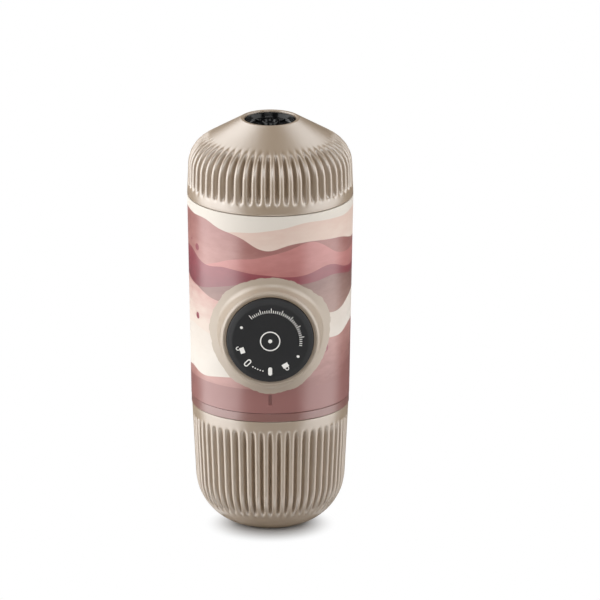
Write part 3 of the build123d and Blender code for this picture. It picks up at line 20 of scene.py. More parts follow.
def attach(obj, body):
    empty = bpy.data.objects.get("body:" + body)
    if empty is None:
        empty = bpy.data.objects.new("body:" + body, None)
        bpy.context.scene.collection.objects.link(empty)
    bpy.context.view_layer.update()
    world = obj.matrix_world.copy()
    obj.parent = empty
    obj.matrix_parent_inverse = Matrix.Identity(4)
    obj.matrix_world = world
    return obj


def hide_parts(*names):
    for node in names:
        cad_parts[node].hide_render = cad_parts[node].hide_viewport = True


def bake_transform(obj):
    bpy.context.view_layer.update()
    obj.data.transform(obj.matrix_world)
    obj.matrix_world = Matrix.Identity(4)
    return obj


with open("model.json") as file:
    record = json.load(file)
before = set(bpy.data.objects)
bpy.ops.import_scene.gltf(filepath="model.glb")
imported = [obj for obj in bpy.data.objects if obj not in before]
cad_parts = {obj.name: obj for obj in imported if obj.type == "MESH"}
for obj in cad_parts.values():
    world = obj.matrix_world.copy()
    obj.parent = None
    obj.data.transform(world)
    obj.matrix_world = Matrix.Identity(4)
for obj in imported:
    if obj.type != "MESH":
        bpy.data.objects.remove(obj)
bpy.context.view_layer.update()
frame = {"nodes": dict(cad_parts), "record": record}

LOG = logging.getLogger("espresso_maker")
MM = 0.001
WHITE = (1.0, 1.0, 1.0, 1.0)
PUMP_Z = 80.2
FLUTE_COUNT = 54
# Turns a shape that stands on the XY plane so that it faces out along the pump's axis.
PUMP_TURN = Matrix.Translation((0, 0, PUMP_Z)) @ Matrix.Rotation(math.radians(90), 4, "X")

Pair = tuple[float, float]
Triple = tuple[float, float, float]
Radii = tuple[float, ...]
Colour = Triple
BMesh = bmesh.types.BMesh
Socket = bpy.types.NodeSocket
FLOAT = "NodeSocketFloat"
COLOUR = "NodeSocketColor"
VECTOR = "NodeSocketVector"


class Body(Enum):
    """The bodies of the frame that new pieces ride on."""

    HOUSING = "housing"
    TANK = "tank"
    KNOB = "knob"
    PISTON = "piston"
    CUP = "cup"
    INLET_POPPET = "inlet_poppet"
    OUTLET_POPPET = "outlet_poppet"


class Slot(Enum):
    """The record's material slots."""

    BEIGE_SHELL = "beige_shell"
    PRINTED_SHELL = "printed_shell"
    COLLAR_PAINT = "collar_paint"
    KNOB_BLACK = "knob_black"
    GLOSS_BLACK = "gloss_black"
    FRAME_GREY = "frame_grey"
    STEEL = "steel"
    VALVE_BRASS = "valve_brass"
    SILICONE = "silicone"


def srgb(code: str) -> Colour:
    """Turns a display colour into the linear values that shaders take.

    Args:
        code: six hexadecimal digits, red first.

    Returns:
        The linear red, green and blue.
    """
    values = []
    for start in (0, 2, 4):
        level = int(code[start : start + 2], 16) / 255
        values.append(level / 12.92 if level <= 0.04045 else ((level + 0.055) / 1.055) ** 2.4)
    return tuple(values)


# ---- Shader building -------------------------------------------------------------------------
@dataclass
class Wiring:
    """Adds shader nodes to one tree and joins them."""

    tree: bpy.types.NodeTree

    def node(self, kind: str, inputs: dict | None = None, **settings: object) -> bpy.types.Node:
        """Adds a node.

        Args:
            kind: Blender's name for the node's type, after "ShaderNode".
            inputs: what its inputs get, as in feed.
            settings: properties of the node.

        Returns:
            The new node.
        """
        made = self.tree.nodes.new("ShaderNode" + kind)
        for name, value in settings.items():
            setattr(made, name, value)
        self.feed(made, inputs or {})
        return made

    def feed(self, node: bpy.types.Node, inputs: dict) -> None:
        """Sets or links a node's inputs.

        Args:
            node: the node.
            inputs: socket name or index to a constant or to the socket that feeds it.
        """
        for key, value in inputs.items():
            if isinstance(value, Socket):
                self.tree.links.new(value, node.inputs[key])
            else:
                node.inputs[key].default_value = value

    def maths(self, operation: str, *values: object, clamp: bool = False) -> Socket:
        """Adds a Math node and returns its output.

        Args:
            operation: the node's operation.
            values: its inputs in order, constants or sockets.
            clamp: whether the result is kept between 0 and 1.

        Returns:
            The output socket.
        """
        inputs = dict(enumerate(values))
        return self.node("Math", inputs, operation=operation, use_clamp=clamp).outputs[0]

    def vector_maths(self, operation: str, *values: object) -> Socket:
        """Adds a Vector Math node and returns its vector output."""
        inputs = dict(enumerate(values))
        return self.node("VectorMath", inputs, operation=operation).outputs[0]

    def scaled(self, vector: Socket, factor: object) -> Socket:
        """Scales a vector or a colour by a constant or a socket."""
        inputs = {0: vector, "Scale": factor}
        return self.node("VectorMath", inputs, operation="SCALE").outputs[0]

    def millimetres(self) -> Socket:
        """Adds the object's own coordinates in millimetres and returns their socket."""
        return self.scaled(self.node("TexCoord").outputs["Object"], 1 / MM)

    def distance(self, across: Socket, along: Socket) -> Socket:
        """Returns how far two coordinates are from where both are 0."""
        squares = [self.maths("POWER", part, 2.0) for part in (across, along)]
        return self.maths("SQRT", self.maths("ADD", *squares))

    def about_zero(self, value: Socket, reach: float) -> Socket:
        """Maps 0 to 1 onto minus the reach to plus the reach."""
        return self.maths("MULTIPLY_ADD", value, 2 * reach, -reach)

    def mix(self, factor: object, first: object, second: object) -> Socket:
        """Mixes two colours.

        Args:
            factor: share of the second colour.
            first: colour or socket.
            second: colour or socket.

        Returns:
            The mixed colour's socket.
        """
        inputs = {0: factor}
        for key, value in ((6, first), (7, second)):
            inputs[key] = value if isinstance(value, Socket) else (*value, 1.0)
        return self.node("Mix", inputs, data_type="RGBA").outputs[2]

    def noise(
        self, vector: object, scale: object, detail: float = 2.0, roughness: float = 0.5
    ) -> Socket:
        """Adds a noise texture.

        Args:
            vector: where it is read.
            scale: its frequency in the vector's units.
            detail: number of octaves.
            roughness: how strong the finer octaves are.

        Returns:
            The noise value's socket, about 0.5 on average.
        """
        inputs = {"Vector": vector, "Scale": scale, "Detail": detail, "Roughness": roughness}
        return self.node("TexNoise", inputs).outputs[0]

    def smooth_step(self, value: object, low: float, high: float) -> Socket:
        """Maps a value to 0 below low and 1 above high, smoothly between."""
        inputs = {0: value, 1: low, 2: high, 3: 0.0, 4: 1.0}
        made = self.node("MapRange", inputs, interpolation_type="SMOOTHSTEP")
        return made.outputs[0]


def new_material(name: str) -> tuple[bpy.types.Material, Wiring, bpy.types.Node]:
    """Returns a new material, the wiring of its tree and its Principled shader."""
    material = bpy.data.materials.new(name)
    material.use_nodes = True
    tree = material.node_tree
    return material, Wiring(tree), tree.nodes["Principled BSDF"]


def shader_group(
    name: str, inputs: Sequence[tuple], outputs: Sequence[tuple]
) -> bpy.types.NodeTree:
    """Starts a shader node group.

    Args:
        name: the group's name.
        inputs: name, socket type and default of each input.
        outputs: name and socket type of each output.

    Returns:
        The group's tree, with its input and output nodes in place.
    """
    tree = bpy.data.node_groups.new(name, "ShaderNodeTree")
    for label, kind, default in inputs:
        socket = tree.interface.new_socket(label, in_out="INPUT", socket_type=kind)
        if default is not None:
            socket.default_value = default
    for label, kind in outputs:
        tree.interface.new_socket(label, in_out="OUTPUT", socket_type=kind)
    tree.nodes.new("NodeGroupInput")
    tree.nodes.new("NodeGroupOutput")
    return tree


@cache
def grain_group() -> bpy.types.NodeTree:
    """Builds the moulded grain: a fine bump height and a roughness that varies a little.

    Returns:
        The node group, which is built once.
    """
    tree = shader_group(
        "moulded_grain",
        [("Vector", VECTOR, None), ("Grain Size", FLOAT, 0.25), ("Roughness", FLOAT, 0.4)],
        [("Height", FLOAT), ("Roughness", FLOAT)],
    )
    wiring = Wiring(tree)
    source = tree.nodes[0].outputs
    frequency = wiring.maths("DIVIDE", 1.0, source["Grain Size"])
    fine = wiring.noise(source["Vector"], frequency)
    broad = wiring.noise(source["Vector"], scale=0.09, detail=3.0)
    level = wiring.maths("ADD", source["Roughness"], wiring.about_zero(broad, 0.06))
    rough = wiring.maths("ADD", level, wiring.about_zero(fine, 0.05), clamp=True)
    wiring.feed(tree.nodes[1], {"Height": fine, "Roughness": rough})
    return tree


@cache
def mottle_group() -> bpy.types.NodeTree:
    """Builds the slight unevenness of a moulded colour.

    Returns:
        The node group, which is built once.
    """
    tree = shader_group(
        "soft_mottle",
        [("Vector", VECTOR, None), ("Color", COLOUR, None), ("Amount", FLOAT, 0.05)],
        [("Color", COLOUR)],
    )
    wiring = Wiring(tree)
    source = tree.nodes[0].outputs
    broad = wiring.noise(source["Vector"], scale=0.06, detail=4.0, roughness=0.6)
    fine = wiring.noise(source["Vector"], scale=3.2)
    both = wiring.maths("MULTIPLY_ADD", fine, 0.5, wiring.maths("MULTIPLY", broad, 0.5))
    swing = wiring.maths("SUBTRACT", both, 0.5)
    change = wiring.maths("MULTIPLY", swing, source["Amount"])
    level = wiring.maths("MULTIPLY_ADD", change, 2.0, 1.0)
    wiring.feed(tree.nodes[1], {"Color": wiring.scaled(source["Color"], level)})
    return tree


def mottled(wiring: Wiring, place: Socket, colour: object, amount: float) -> Socket:
    """Makes a colour slightly uneven.

    Args:
        wiring: where the node goes.
        place: the object's coordinates in millimetres.
        colour: the even colour, with its alpha, or its socket.
        amount: how uneven it gets.

    Returns:
        The uneven colour's socket.
    """
    inputs = {"Vector": place, "Color": colour, "Amount": amount}
    made = wiring.node("Group", inputs, node_tree=mottle_group())
    return made.outputs["Color"]


@dataclass(frozen=True)
class Finish:
    """A moulded or turned surface: a colour with mottling, grain and gloss."""

    name: str
    colour: Colour
    roughness: float = 0.4
    metallic: float = 0.0
    grain_size: float = 0.25
    grain_depth: float = 0.004
    mottle: float = 0.05
    specular: float = 0.5
    coat: float = 0.0
    coat_roughness: float = 0.2
    ior: float = 1.5

    def base_colour(self, wiring: Wiring, place: Socket) -> Socket:
        """Returns the colour over the surface, before gloss.

        Args:
            wiring: where its nodes go.
            place: the object's coordinates in millimetres.

        Returns:
            The colour's socket.
        """
        return mottled(wiring, place, (*self.colour, 1.0), self.mottle)

    def mean_roughness(self, wiring: Wiring, colour: Socket) -> object:
        """Returns the roughness that the grain varies about; here the same all over."""
        return self.roughness

    def material(self) -> bpy.types.Material:
        """Builds the material, or returns it if it is there already.

        Returns:
            The material.
        """
        if self.name in bpy.data.materials:
            return bpy.data.materials[self.name]
        material, wiring, shader = new_material(self.name)
        place = wiring.millimetres()
        colour = self.base_colour(wiring, place)
        rough = self.mean_roughness(wiring, colour)
        inputs = {"Vector": place, "Grain Size": self.grain_size, "Roughness": rough}
        grain = wiring.node("Group", inputs, node_tree=grain_group()).outputs
        relief = {"Height": grain["Height"], "Strength": 1.0, "Distance": self.grain_depth * MM}
        wiring.feed(shader, {
            "Base Color": colour, "Roughness": grain["Roughness"],
            "Normal": wiring.node("Bump", relief).outputs[0], "Metallic": self.metallic,
            "Specular IOR Level": self.specular, "IOR": self.ior,
            "Coat Weight": self.coat, "Coat Roughness": self.coat_roughness,
        })
        return material


@dataclass(frozen=True)
class Ribbon:
    """One flowing band of the print: everything below its edge takes its colour.

    Its colour fades to another one further down, and the seed moves its waves.
    """

    colour: Colour
    level: float = 130.0
    tilt: float = 0.0
    swing: float = 4.0
    seed: float = 0.0
    fade: Colour = (0.5, 0.4, 0.35)


@dataclass(frozen=True)
class PrintFinish(Finish):
    """The body's print: flowing bands and pebbles round a plain halo for the knob.

    Noise scales and the pebbles' cells are per millimetre, and the pebbles' sizes are shares of
    their cells.
    """

    shell: Colour = (0.4, 0.325, 0.25)
    base: Colour = (0.26, 0.1, 0.088)
    pebble: Colour = srgb("86323f")
    base_top: float = 58.9
    skin_radius: float = 28.8
    edge: float = 0.1
    halo_radius: float = 22.6
    halo_swing: float = 1.6
    halo_noise: float = 0.11
    ribbon_edge: float = 0.09
    ribbon_noise: float = 0.034
    streak_noise: float = 0.42
    streak_squash: float = 0.35
    streak_reach: float = 0.65
    fade_depth: float = 14.0
    pebble_cells: float = 0.085
    pebble_scatter: float = 0.9
    pebble_growth: float = 0.42
    pebble_least: float = -0.19
    pebble_edge: float = 0.008
    paleness: Pair = (0.25, 0.6)
    pale_roughness: float = 0.62
    ribbons: tuple[Ribbon, ...] = ()

    def mean_roughness(self, wiring: Wiring, colour: Socket) -> object:
        """Makes pale ink duller than dark ink.

        Args:
            wiring: where its nodes go.
            colour: the printed colour.

        Returns:
            The roughness that the grain varies about.
        """
        grey = wiring.node("RGBToBW", {0: colour}).outputs[0]
        share = wiring.smooth_step(grey, *self.paleness)
        extra = self.pale_roughness - self.roughness
        return wiring.maths("MULTIPLY_ADD", share, extra, self.roughness)

    def base_colour(self, wiring: Wiring, place: Socket) -> Socket:
        """Returns the printed colour over the surface.

        Args:
            wiring: where its nodes go.
            place: the object's coordinates in millimetres.

        Returns:
            The colour's socket.
        """
        x, y, z = wiring.node("SeparateXYZ", {0: place}).outputs
        colour: object = self.ribbons[0].colour
        for ribbon in self.ribbons[1:]:
            colour = self.lay(wiring, place, (x, z), colour, ribbon)
        colour = self.scatter_pebbles(wiring, place, colour)
        low = wiring.smooth_step(z, self.base_top + self.edge, self.base_top - self.edge)
        colour = wiring.mix(low, colour, self.base)
        up = wiring.maths("SUBTRACT", z, PUMP_Z)
        uneven = wiring.noise(place, self.halo_noise, detail=3.0, roughness=0.62)
        away = wiring.distance(x, up)
        wobble = wiring.maths("MULTIPLY_ADD", uneven, self.halo_swing * 2, away)
        rim = self.halo_radius + self.halo_swing
        near = wiring.smooth_step(wobble, rim + self.edge, rim - self.edge)
        front = wiring.maths("LESS_THAN", y, 0.0)
        colour = wiring.mix(wiring.maths("MULTIPLY", near, front), colour, self.shell)
        # The shell's inner faces carry no print.
        inside = wiring.maths("LESS_THAN", wiring.distance(x, y), self.skin_radius)
        return mottled(wiring, place, wiring.mix(inside, colour, self.shell), self.mottle)

    def lay(
        self, wiring: Wiring, place: Socket, xz: tuple, under: object, ribbon: Ribbon
    ) -> Socket:
        """Lays one band over the colours above it.

        Args:
            wiring: where its nodes go.
            place: the object's coordinates in millimetres.
            xz: the sockets of x and z.
            under: what it covers.
            ribbon: the band.

        Returns:
            The colour with the band laid.
        """
        shift = (ribbon.seed, ribbon.seed * 0.7, ribbon.seed * 1.3)
        offset = wiring.vector_maths("ADD", place, shift)
        waves = wiring.noise(offset, self.ribbon_noise, detail=1.0, roughness=0.35)
        height = wiring.maths("ADD", xz[1], wiring.about_zero(waves, ribbon.swing * 2))
        height = wiring.maths("MULTIPLY_ADD", xz[0], -ribbon.tilt, height)
        edge = (ribbon.level + self.ribbon_edge, ribbon.level - self.ribbon_edge)
        below = wiring.smooth_step(height, *edge)
        squash = (self.streak_squash, self.streak_squash, 1.0)
        flow = wiring.vector_maths("MULTIPLY", offset, squash)
        streaks = wiring.noise(flow, self.streak_noise, detail=3.0, roughness=0.6)
        streak = wiring.about_zero(streaks, self.streak_reach)
        fall = (-1 / self.fade_depth, ribbon.level / self.fade_depth)
        depth = wiring.maths("MULTIPLY_ADD", height, *fall)
        share = wiring.maths("ADD", depth, streak, clamp=True)
        return wiring.mix(below, under, wiring.mix(share, ribbon.colour, ribbon.fade))

    def scatter_pebbles(self, wiring: Wiring, place: Socket, under: Socket) -> Socket:
        """Scatters a few round pebbles over the bands.

        Args:
            wiring: where its nodes go.
            place: the object's coordinates in millimetres.
            under: the colour they lie on.

        Returns:
            The colour with the pebbles.
        """
        spread = {"Scale": self.pebble_cells, "Randomness": self.pebble_scatter}
        cells = wiring.node("TexVoronoi", {"Vector": place, **spread}).outputs
        size = wiring.node("SeparateColor", {0: cells["Color"]}).outputs[0]
        radius = wiring.maths("MULTIPLY_ADD", size, self.pebble_growth, self.pebble_least)
        inward = wiring.maths("SUBTRACT", radius, cells["Distance"])
        inside = wiring.smooth_step(inward, 0.0, self.pebble_edge)
        return wiring.mix(inside, under, self.pebble)


SHELL_BEIGE = (0.312, 0.224, 0.142)
BEIGE = Finish(
    "beige_satin", SHELL_BEIGE, roughness=0.38, grain_depth=0.006, specular=1.0, ior=2.0,
    mottle=0.03,
)
MAUVE = Finish(
    "mauve_satin", (0.205, 0.078, 0.062), roughness=0.36, grain_depth=0.006, specular=0.9,
    ior=1.72, mottle=0.03,
)
KNOB = Finish(
    "knob_black_grained", srgb("222223"), roughness=0.55, grain_size=0.3, grain_depth=0.02,
    mottle=0.35, specular=0.32,
)
GLOSS = Finish(
    "vent_gloss_black", srgb("0e0e0f"), roughness=0.16, grain_depth=0.001, mottle=0.1,
    specular=0.22, coat=0.06, coat_roughness=0.06,
)
INK = Finish("mark_white", srgb("e9e7e2"), roughness=0.5, grain_depth=0.003, mottle=0.04)
FRAME_PLASTIC = Finish(
    "frame_grey_plastic", srgb("3b3c3f"), roughness=0.5, grain_size=0.4, grain_depth=0.015,
    mottle=0.12,
)
STEEL = Finish("brushed_steel", srgb("c9c9c6"), roughness=0.28, metallic=1.0, mottle=0.06)
BRASS = Finish("turned_brass", srgb("c9a35c"), roughness=0.3, metallic=1.0, mottle=0.08)
SILICONE = Finish("pale_silicone", srgb("cfc9c0"), roughness=0.55)
PRINT = PrintFinish(
    "body_print", SHELL_BEIGE, roughness=0.38, grain_depth=0.006, specular=0.85, ior=1.65,
    mottle=0.03,
    ribbons=(
        Ribbon(srgb("d3cbc0")),
        Ribbon(srgb("cfb3a5"), 121.5, 0.05, 3.0, 11.0, srgb("d6c4b6")),
        Ribbon(srgb("96605a"), 115.5, -0.10, 5.0, 47.0, srgb("ab7a72")),
        Ribbon(srgb("b87873"), 109.0, 0.14, 5.0, 83.0, srgb("a3605c")),
        Ribbon(srgb("86363f"), 104.0, -0.06, 4.0, 29.0, srgb("702f37")),
        Ribbon(srgb("7d5850"), 98.0, 0.08, 3.0, 61.0, srgb("9a776c")),
        Ribbon(srgb("bd938a"), 91.0, -0.12, 4.0, 101.0, srgb("d0c0b3")),
        Ribbon(srgb("cfc4b9"), 84.0, 0.15, 5.0, 17.0, srgb("d6cec4")),
        Ribbon(srgb("ad7d75"), 69.0, 0.32, 4.0, 71.0, srgb("8a5751")),
    ),
)
FINISHES = {
    Slot.BEIGE_SHELL: BEIGE,
    Slot.PRINTED_SHELL: PRINT,
    Slot.COLLAR_PAINT: MAUVE,
    Slot.KNOB_BLACK: KNOB,
    Slot.GLOSS_BLACK: GLOSS,
    Slot.FRAME_GREY: FRAME_PLASTIC,
    Slot.STEEL: STEEL,
    Slot.VALVE_BRASS: BRASS,
    Slot.SILICONE: SILICONE,
}


# ---- Mesh building ---------------------------------------------------------------------------
def rounded_path(corners: Sequence[tuple], radii: Sequence[float], steps: int = 6) -> list[Vector]:
    """Rounds the inner corners of a profile.

    Args:
        corners: the profile's points.
        radii: one radius for each inner corner, 0 to leave it sharp.
        steps: straight pieces in each arc.

    Returns:
        The rounded profile.
    """
    path = [Vector(corners[0])]
    for before, corner, after, radius in zip(corners, corners[1:], corners[2:], radii):
        middle = Vector(corner)
        if radius <= 0:
            path.append(middle)
            continue
        back = (Vector(before) - middle).normalized()
        ahead = (Vector(after) - middle).normalized()
        half = back.angle(ahead) / 2
        centre = middle + (back + ahead).normalized() * radius / math.sin(half)
        start = middle + back * radius / math.tan(half) - centre
        end = middle + ahead * radius / math.tan(half) - centre
        for step in range(steps + 1):
            path.append(centre + start.slerp(end, step / steps).normalized() * radius)
    path.append(Vector(corners[-1]))
    return path


def refined(path: Sequence[Vector], longest: float) -> list[Vector]:
    """Adds points so that no run of a profile is longer than a length.

    Args:
        path: the profile.
        longest: the longest run that stays.

    Returns:
        The refined profile.
    """
    points = [path[0]]
    for start, end in zip(path, path[1:]):
        parts = max(1, math.ceil((end - start).length / longest))
        points.extend(start.lerp(end, part / parts) for part in range(1, parts + 1))
    return points


def revolved(path: Sequence[Vector], segments: int) -> BMesh:
    """Spins a profile of radius and height, whose ends are on the Z axis, round that axis.

    Args:
        path: the profile.
        segments: steps round the axis.

    Returns:
        The spun mesh, in millimetres, with the profile's point numbers in its layer "ring".
    """
    bm = bmesh.new()
    ring = bm.verts.layers.int.new("ring")
    verts = [bm.verts.new((point.x, 0, point.y)) for point in path]
    for index, vert in enumerate(verts):
        vert[ring] = index
    edges = [bm.edges.new(pair) for pair in zip(verts, verts[1:])]
    bmesh.ops.spin(
        bm, geom=verts + edges, cent=(0, 0, 0), axis=(0, 0, 1), angle=math.tau, steps=segments,
        use_merge=True,
    )
    bmesh.ops.remove_doubles(bm, verts=bm.verts, dist=1e-4)
    return bm


def move(bm: BMesh, matrix: Matrix) -> None:
    """Moves a whole mesh by a matrix."""
    bmesh.ops.transform(bm, matrix=matrix, verts=bm.verts)


def mesh_of(bm: BMesh, name: str) -> bpy.types.Mesh:
    """Turns a mesh in millimetres, which is freed, into Blender's mesh in metres."""
    bmesh.ops.scale(bm, vec=(MM, MM, MM), verts=bm.verts)
    mesh = bpy.data.meshes.new(name)
    bm.to_mesh(mesh)
    bm.free()
    return mesh


def placed(name: str, data: bpy.types.ID) -> bpy.types.Object:
    """Puts a new object of a mesh, a lamp or a camera into the scene and returns it."""
    made = bpy.data.objects.new(name, data)
    bpy.context.collection.objects.link(made)
    return made


def piece_from(
    bm: BMesh, name: str, slot: Slot, body: Body | None = None, sharp: float = 35.0,
    finish: Finish | None = None,
) -> bpy.types.Object:
    """Makes a piece of a mesh in millimetres.

    Args:
        bm: the mesh, whose faces are turned outwards and which is freed.
        name: the piece's name.
        slot: the record's material slot that it belongs to.
        body: the body that it rides on, or None to leave it unattached.
        sharp: edges that turn more than this many degrees stay sharp.
        finish: its surface, or None for its slot's finish.

    Returns:
        The piece's object.
    """
    bmesh.ops.recalc_face_normals(bm, faces=bm.faces)
    mesh = mesh_of(bm, name)
    mesh.shade_smooth()
    mesh.set_sharp_from_angle(angle=math.radians(sharp))
    mesh.materials.append((finish or FINISHES[slot]).material())
    piece = placed(name, mesh)
    if body:
        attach(piece, body.value)
    LOG.info("%s: %d faces", name, len(mesh.polygons))
    return piece


def add_mesh(target: BMesh, source: BMesh) -> None:
    """Adds one mesh to another and frees it.

    Args:
        target: the mesh that grows.
        source: the mesh that is added.
    """
    carrier = bpy.data.meshes.new("carrier")
    source.to_mesh(carrier)
    source.free()
    target.from_mesh(carrier)
    bpy.data.meshes.remove(carrier)


@dataclass
class Fluting:
    """Deep flutes between rounded ridges, with soft round ends.

    Widths are those at the wall radius; further in, the flutes narrow and grow shallower with the
    radius. A ridge is round until its steep flank starts, at a share of its radius.
    """

    wall_radius: float
    length: float
    first_end: float = 4.2
    last_end: float = 6.0
    depth: float = 2.5
    ridge_radius: float = 1.1
    flank_start: float = 0.94
    softness: float = 0.35

    def cut_depth(self, across: float, along: float) -> float:
        """Says how deep the flute is at a place on the skin.

        Args:
            across: distance round the wall from the flute's middle.
            along: distance along the profile.

        Returns:
            The depth, 0 on the ridges.
        """
        half_pitch = math.pi * self.wall_radius / FLUTE_COUNT
        past = max(0.0, 1 - along / self.first_end, 1 - (self.length - along) / self.last_end)
        inward = half_pitch * (1 - math.hypot(across / half_pitch, past))
        if inward <= 0:
            return 0.0
        steep = self.flank_start * self.ridge_radius
        edge = math.sqrt(self.ridge_radius**2 - steep**2)
        if inward < steep:
            fall = self.ridge_radius - math.sqrt(self.ridge_radius**2 - inward**2)
        else:
            fall = self.ridge_radius - edge + (inward - steep) * steep / edge
        gap = (fall - self.depth) / self.softness
        return (1 - past**2) * (fall - self.softness * math.log1p(math.exp(gap)))

    def press(
        self, bm: BMesh, path: Sequence[Vector], first: int, last: int, turn: float = 0.0
    ) -> None:
        """Presses the flutes into the outer skin of a spun shell, then turns the shell.

        Args:
            bm: the shell.
            path: its profile, which runs up or down the skin from the flutes' round end.
            first: the profile's first point that can carry a flute.
            last: its last such point.
            turn: how far the shell is turned afterwards, in degrees.
        """
        ring = bm.verts.layers.int["ring"]
        pitch = math.tau / FLUTE_COUNT
        reach = {first: 0.0}
        for index in range(first + 1, last + 1):
            reach[index] = reach[index - 1] + (path[index] - path[index - 1]).length
        known: dict[tuple, float] = {}
        for vert in bm.verts:
            index = vert[ring]
            if index not in reach:
                continue
            run = (path[index + 1] - path[index - 1]).normalized()
            outward = Vector((run.y, -run.x))
            if outward.x < 0:
                outward.negate()
            angle = math.atan2(vert.co.y, vert.co.x) + math.pi / 2
            away = abs((angle / pitch + 0.5) % 1.0 - 0.5) * pitch
            key = (index, round(away, 4))
            if key not in known:
                scale = path[index].x / self.wall_radius
                depth = self.cut_depth(away * self.wall_radius, reach[index])
                known[key] = max(0.0, scale * depth)
            shrink = 1 - outward.x * known[key] / path[index].x
            vert.co.x *= shrink
            vert.co.y *= shrink
            vert.co.z -= outward.y * known[key]
        move(bm, Matrix.Rotation(math.radians(turn), 4, "Z"))


def ring_steps(
    start: float, further: Sequence[float], ahead: float = 0.3, gap: float = 0.17, count: int = 13
) -> list[float]:
    """Returns where along a wall its rings stand, close together where the flutes start.

    Args:
        start: where the flutes start.
        further: how far past it the last, wider spaced rings stand.
        ahead: how far before it the first ring stands.
        gap: the distance between the close rings.
        count: how many of those there are.

    Returns:
        The distances from the wall's end.
    """
    close = (start + gap * step for step in range(count))
    return [start - ahead, *close, *(start + more for more in further)]


@dataclass
class WaterTank:
    """The fluted tank with its screw neck and the pocket for the vent."""

    bottom: float = 126.9
    top: float = 156.0
    wall_radius: float = 31.0
    corner: Pair = (30.37, 144.8)
    shoulder_radius: float = 11.0
    lip_radius: float = 11.0
    pocket_radius: float = 9.8
    pocket_floor: float = 151.0
    under_pocket: float = 148.5
    pocket_outside: float = 11.8
    roof_top: float = 151.8
    roof_foot: float = 142.9
    inner_foot: float = 132.1
    inner_radius: float = 27.2
    neck_radius: float = 25.35
    neck_wall: float = 2.0
    neck_end: float = 108.6
    inner_rounding: Radii = (0.5, 0.5, 7.0, 2.0, 1.0, 0.4, 0.4, 0.3, 0.35)
    lip_rounding: Radii = (0.3, 0.25, 0.3)
    flute_low: float = 128.9
    flute_length: float = 25.9
    flute_turn: float = -1.7
    longest_run: float = 0.8
    segments: int = FLUTE_COUNT * 18
    thread_starts: int = 4
    thread_lead: float = 20.0
    thread_span: float = 62.0
    thread_steps: int = 20
    thread_rise: float = 1.5
    thread_root: Pair = (24.9, 0.75)
    thread_crest: Pair = (26.34, 0.4)

    def outer_skin(self) -> list[Vector]:
        """Returns the outer profile from the foot up, with rings for the flutes' ends."""
        corners = [(self.wall_radius, self.bottom), self.corner, (self.lip_radius, self.top)]
        path = rounded_path(corners, [self.shoulder_radius], 16)
        rise = path[1].y - path[0].y
        steps = ring_steps(self.flute_low - self.bottom, (3.0, 5.0))
        wall = [path[0].lerp(path[1], step / rise) for step in steps]
        return [path[0], *wall, *refined(path[1:], self.longest_run)]

    def build(self) -> None:
        """Builds the tank's shell and its thread."""
        skin = self.outer_skin()
        neck_bore = self.neck_radius - self.neck_wall
        inside = rounded_path(
            [(0, self.under_pocket), (self.pocket_outside, self.under_pocket),
             (self.pocket_outside, self.roof_top), (self.inner_radius, self.roof_foot),
             (self.inner_radius, self.inner_foot), (neck_bore, self.bottom),
             (neck_bore, self.neck_end), (self.neck_radius, self.neck_end),
             (self.neck_radius, self.bottom), skin[0], skin[1]],
            self.inner_rounding, 2,
        )
        rim = rounded_path(
            [skin[-2], (self.lip_radius, self.top), (self.pocket_radius, self.top),
             (self.pocket_radius, self.pocket_floor), (0, self.pocket_floor)],
            self.lip_rounding, 3,
        )
        profile = inside[:-1] + skin[1:-1] + rim[1:]
        shell = revolved(profile, self.segments)
        flutes = Fluting(self.wall_radius, self.flute_length)
        flutes.press(shell, profile, len(inside), len(inside) + len(skin) - 4, self.flute_turn)
        tank = piece_from(shell, "tank_shell", Slot.BEIGE_SHELL, Body.TANK, 60.0)
        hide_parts("water_tank")
        self.build_thread()

    def build_thread(self) -> None:
        """Builds the neck's screw ridges."""
        ridges = bmesh.new()
        (root, foot), (crest, head) = self.thread_root, self.thread_crest
        middle = self.neck_end + self.thread_rise
        climb = self.thread_lead * self.thread_span / 360 / self.thread_steps
        for start in range(self.thread_starts):
            ridge = bmesh.new()
            shape = [(root, -foot), (crest, -head), (crest, head), (root, foot)]
            face = ridge.faces.new([ridge.verts.new((r, 0, middle + z)) for r, z in shape])
            bmesh.ops.spin(
                ridge, geom=[face, *face.edges, *face.verts], cent=(0, 0, 0), axis=(0, 0, 1),
                dvec=(0, 0, climb), angle=math.radians(self.thread_span),
                steps=self.thread_steps, use_duplicate=False,
            )
            turn = Matrix.Rotation(math.tau * start / self.thread_starts, 4, "Z")
            move(ridge, turn)
            add_mesh(ridges, ridge)
        piece_from(ridges, "tank_thread", Slot.BEIGE_SHELL, Body.TANK)


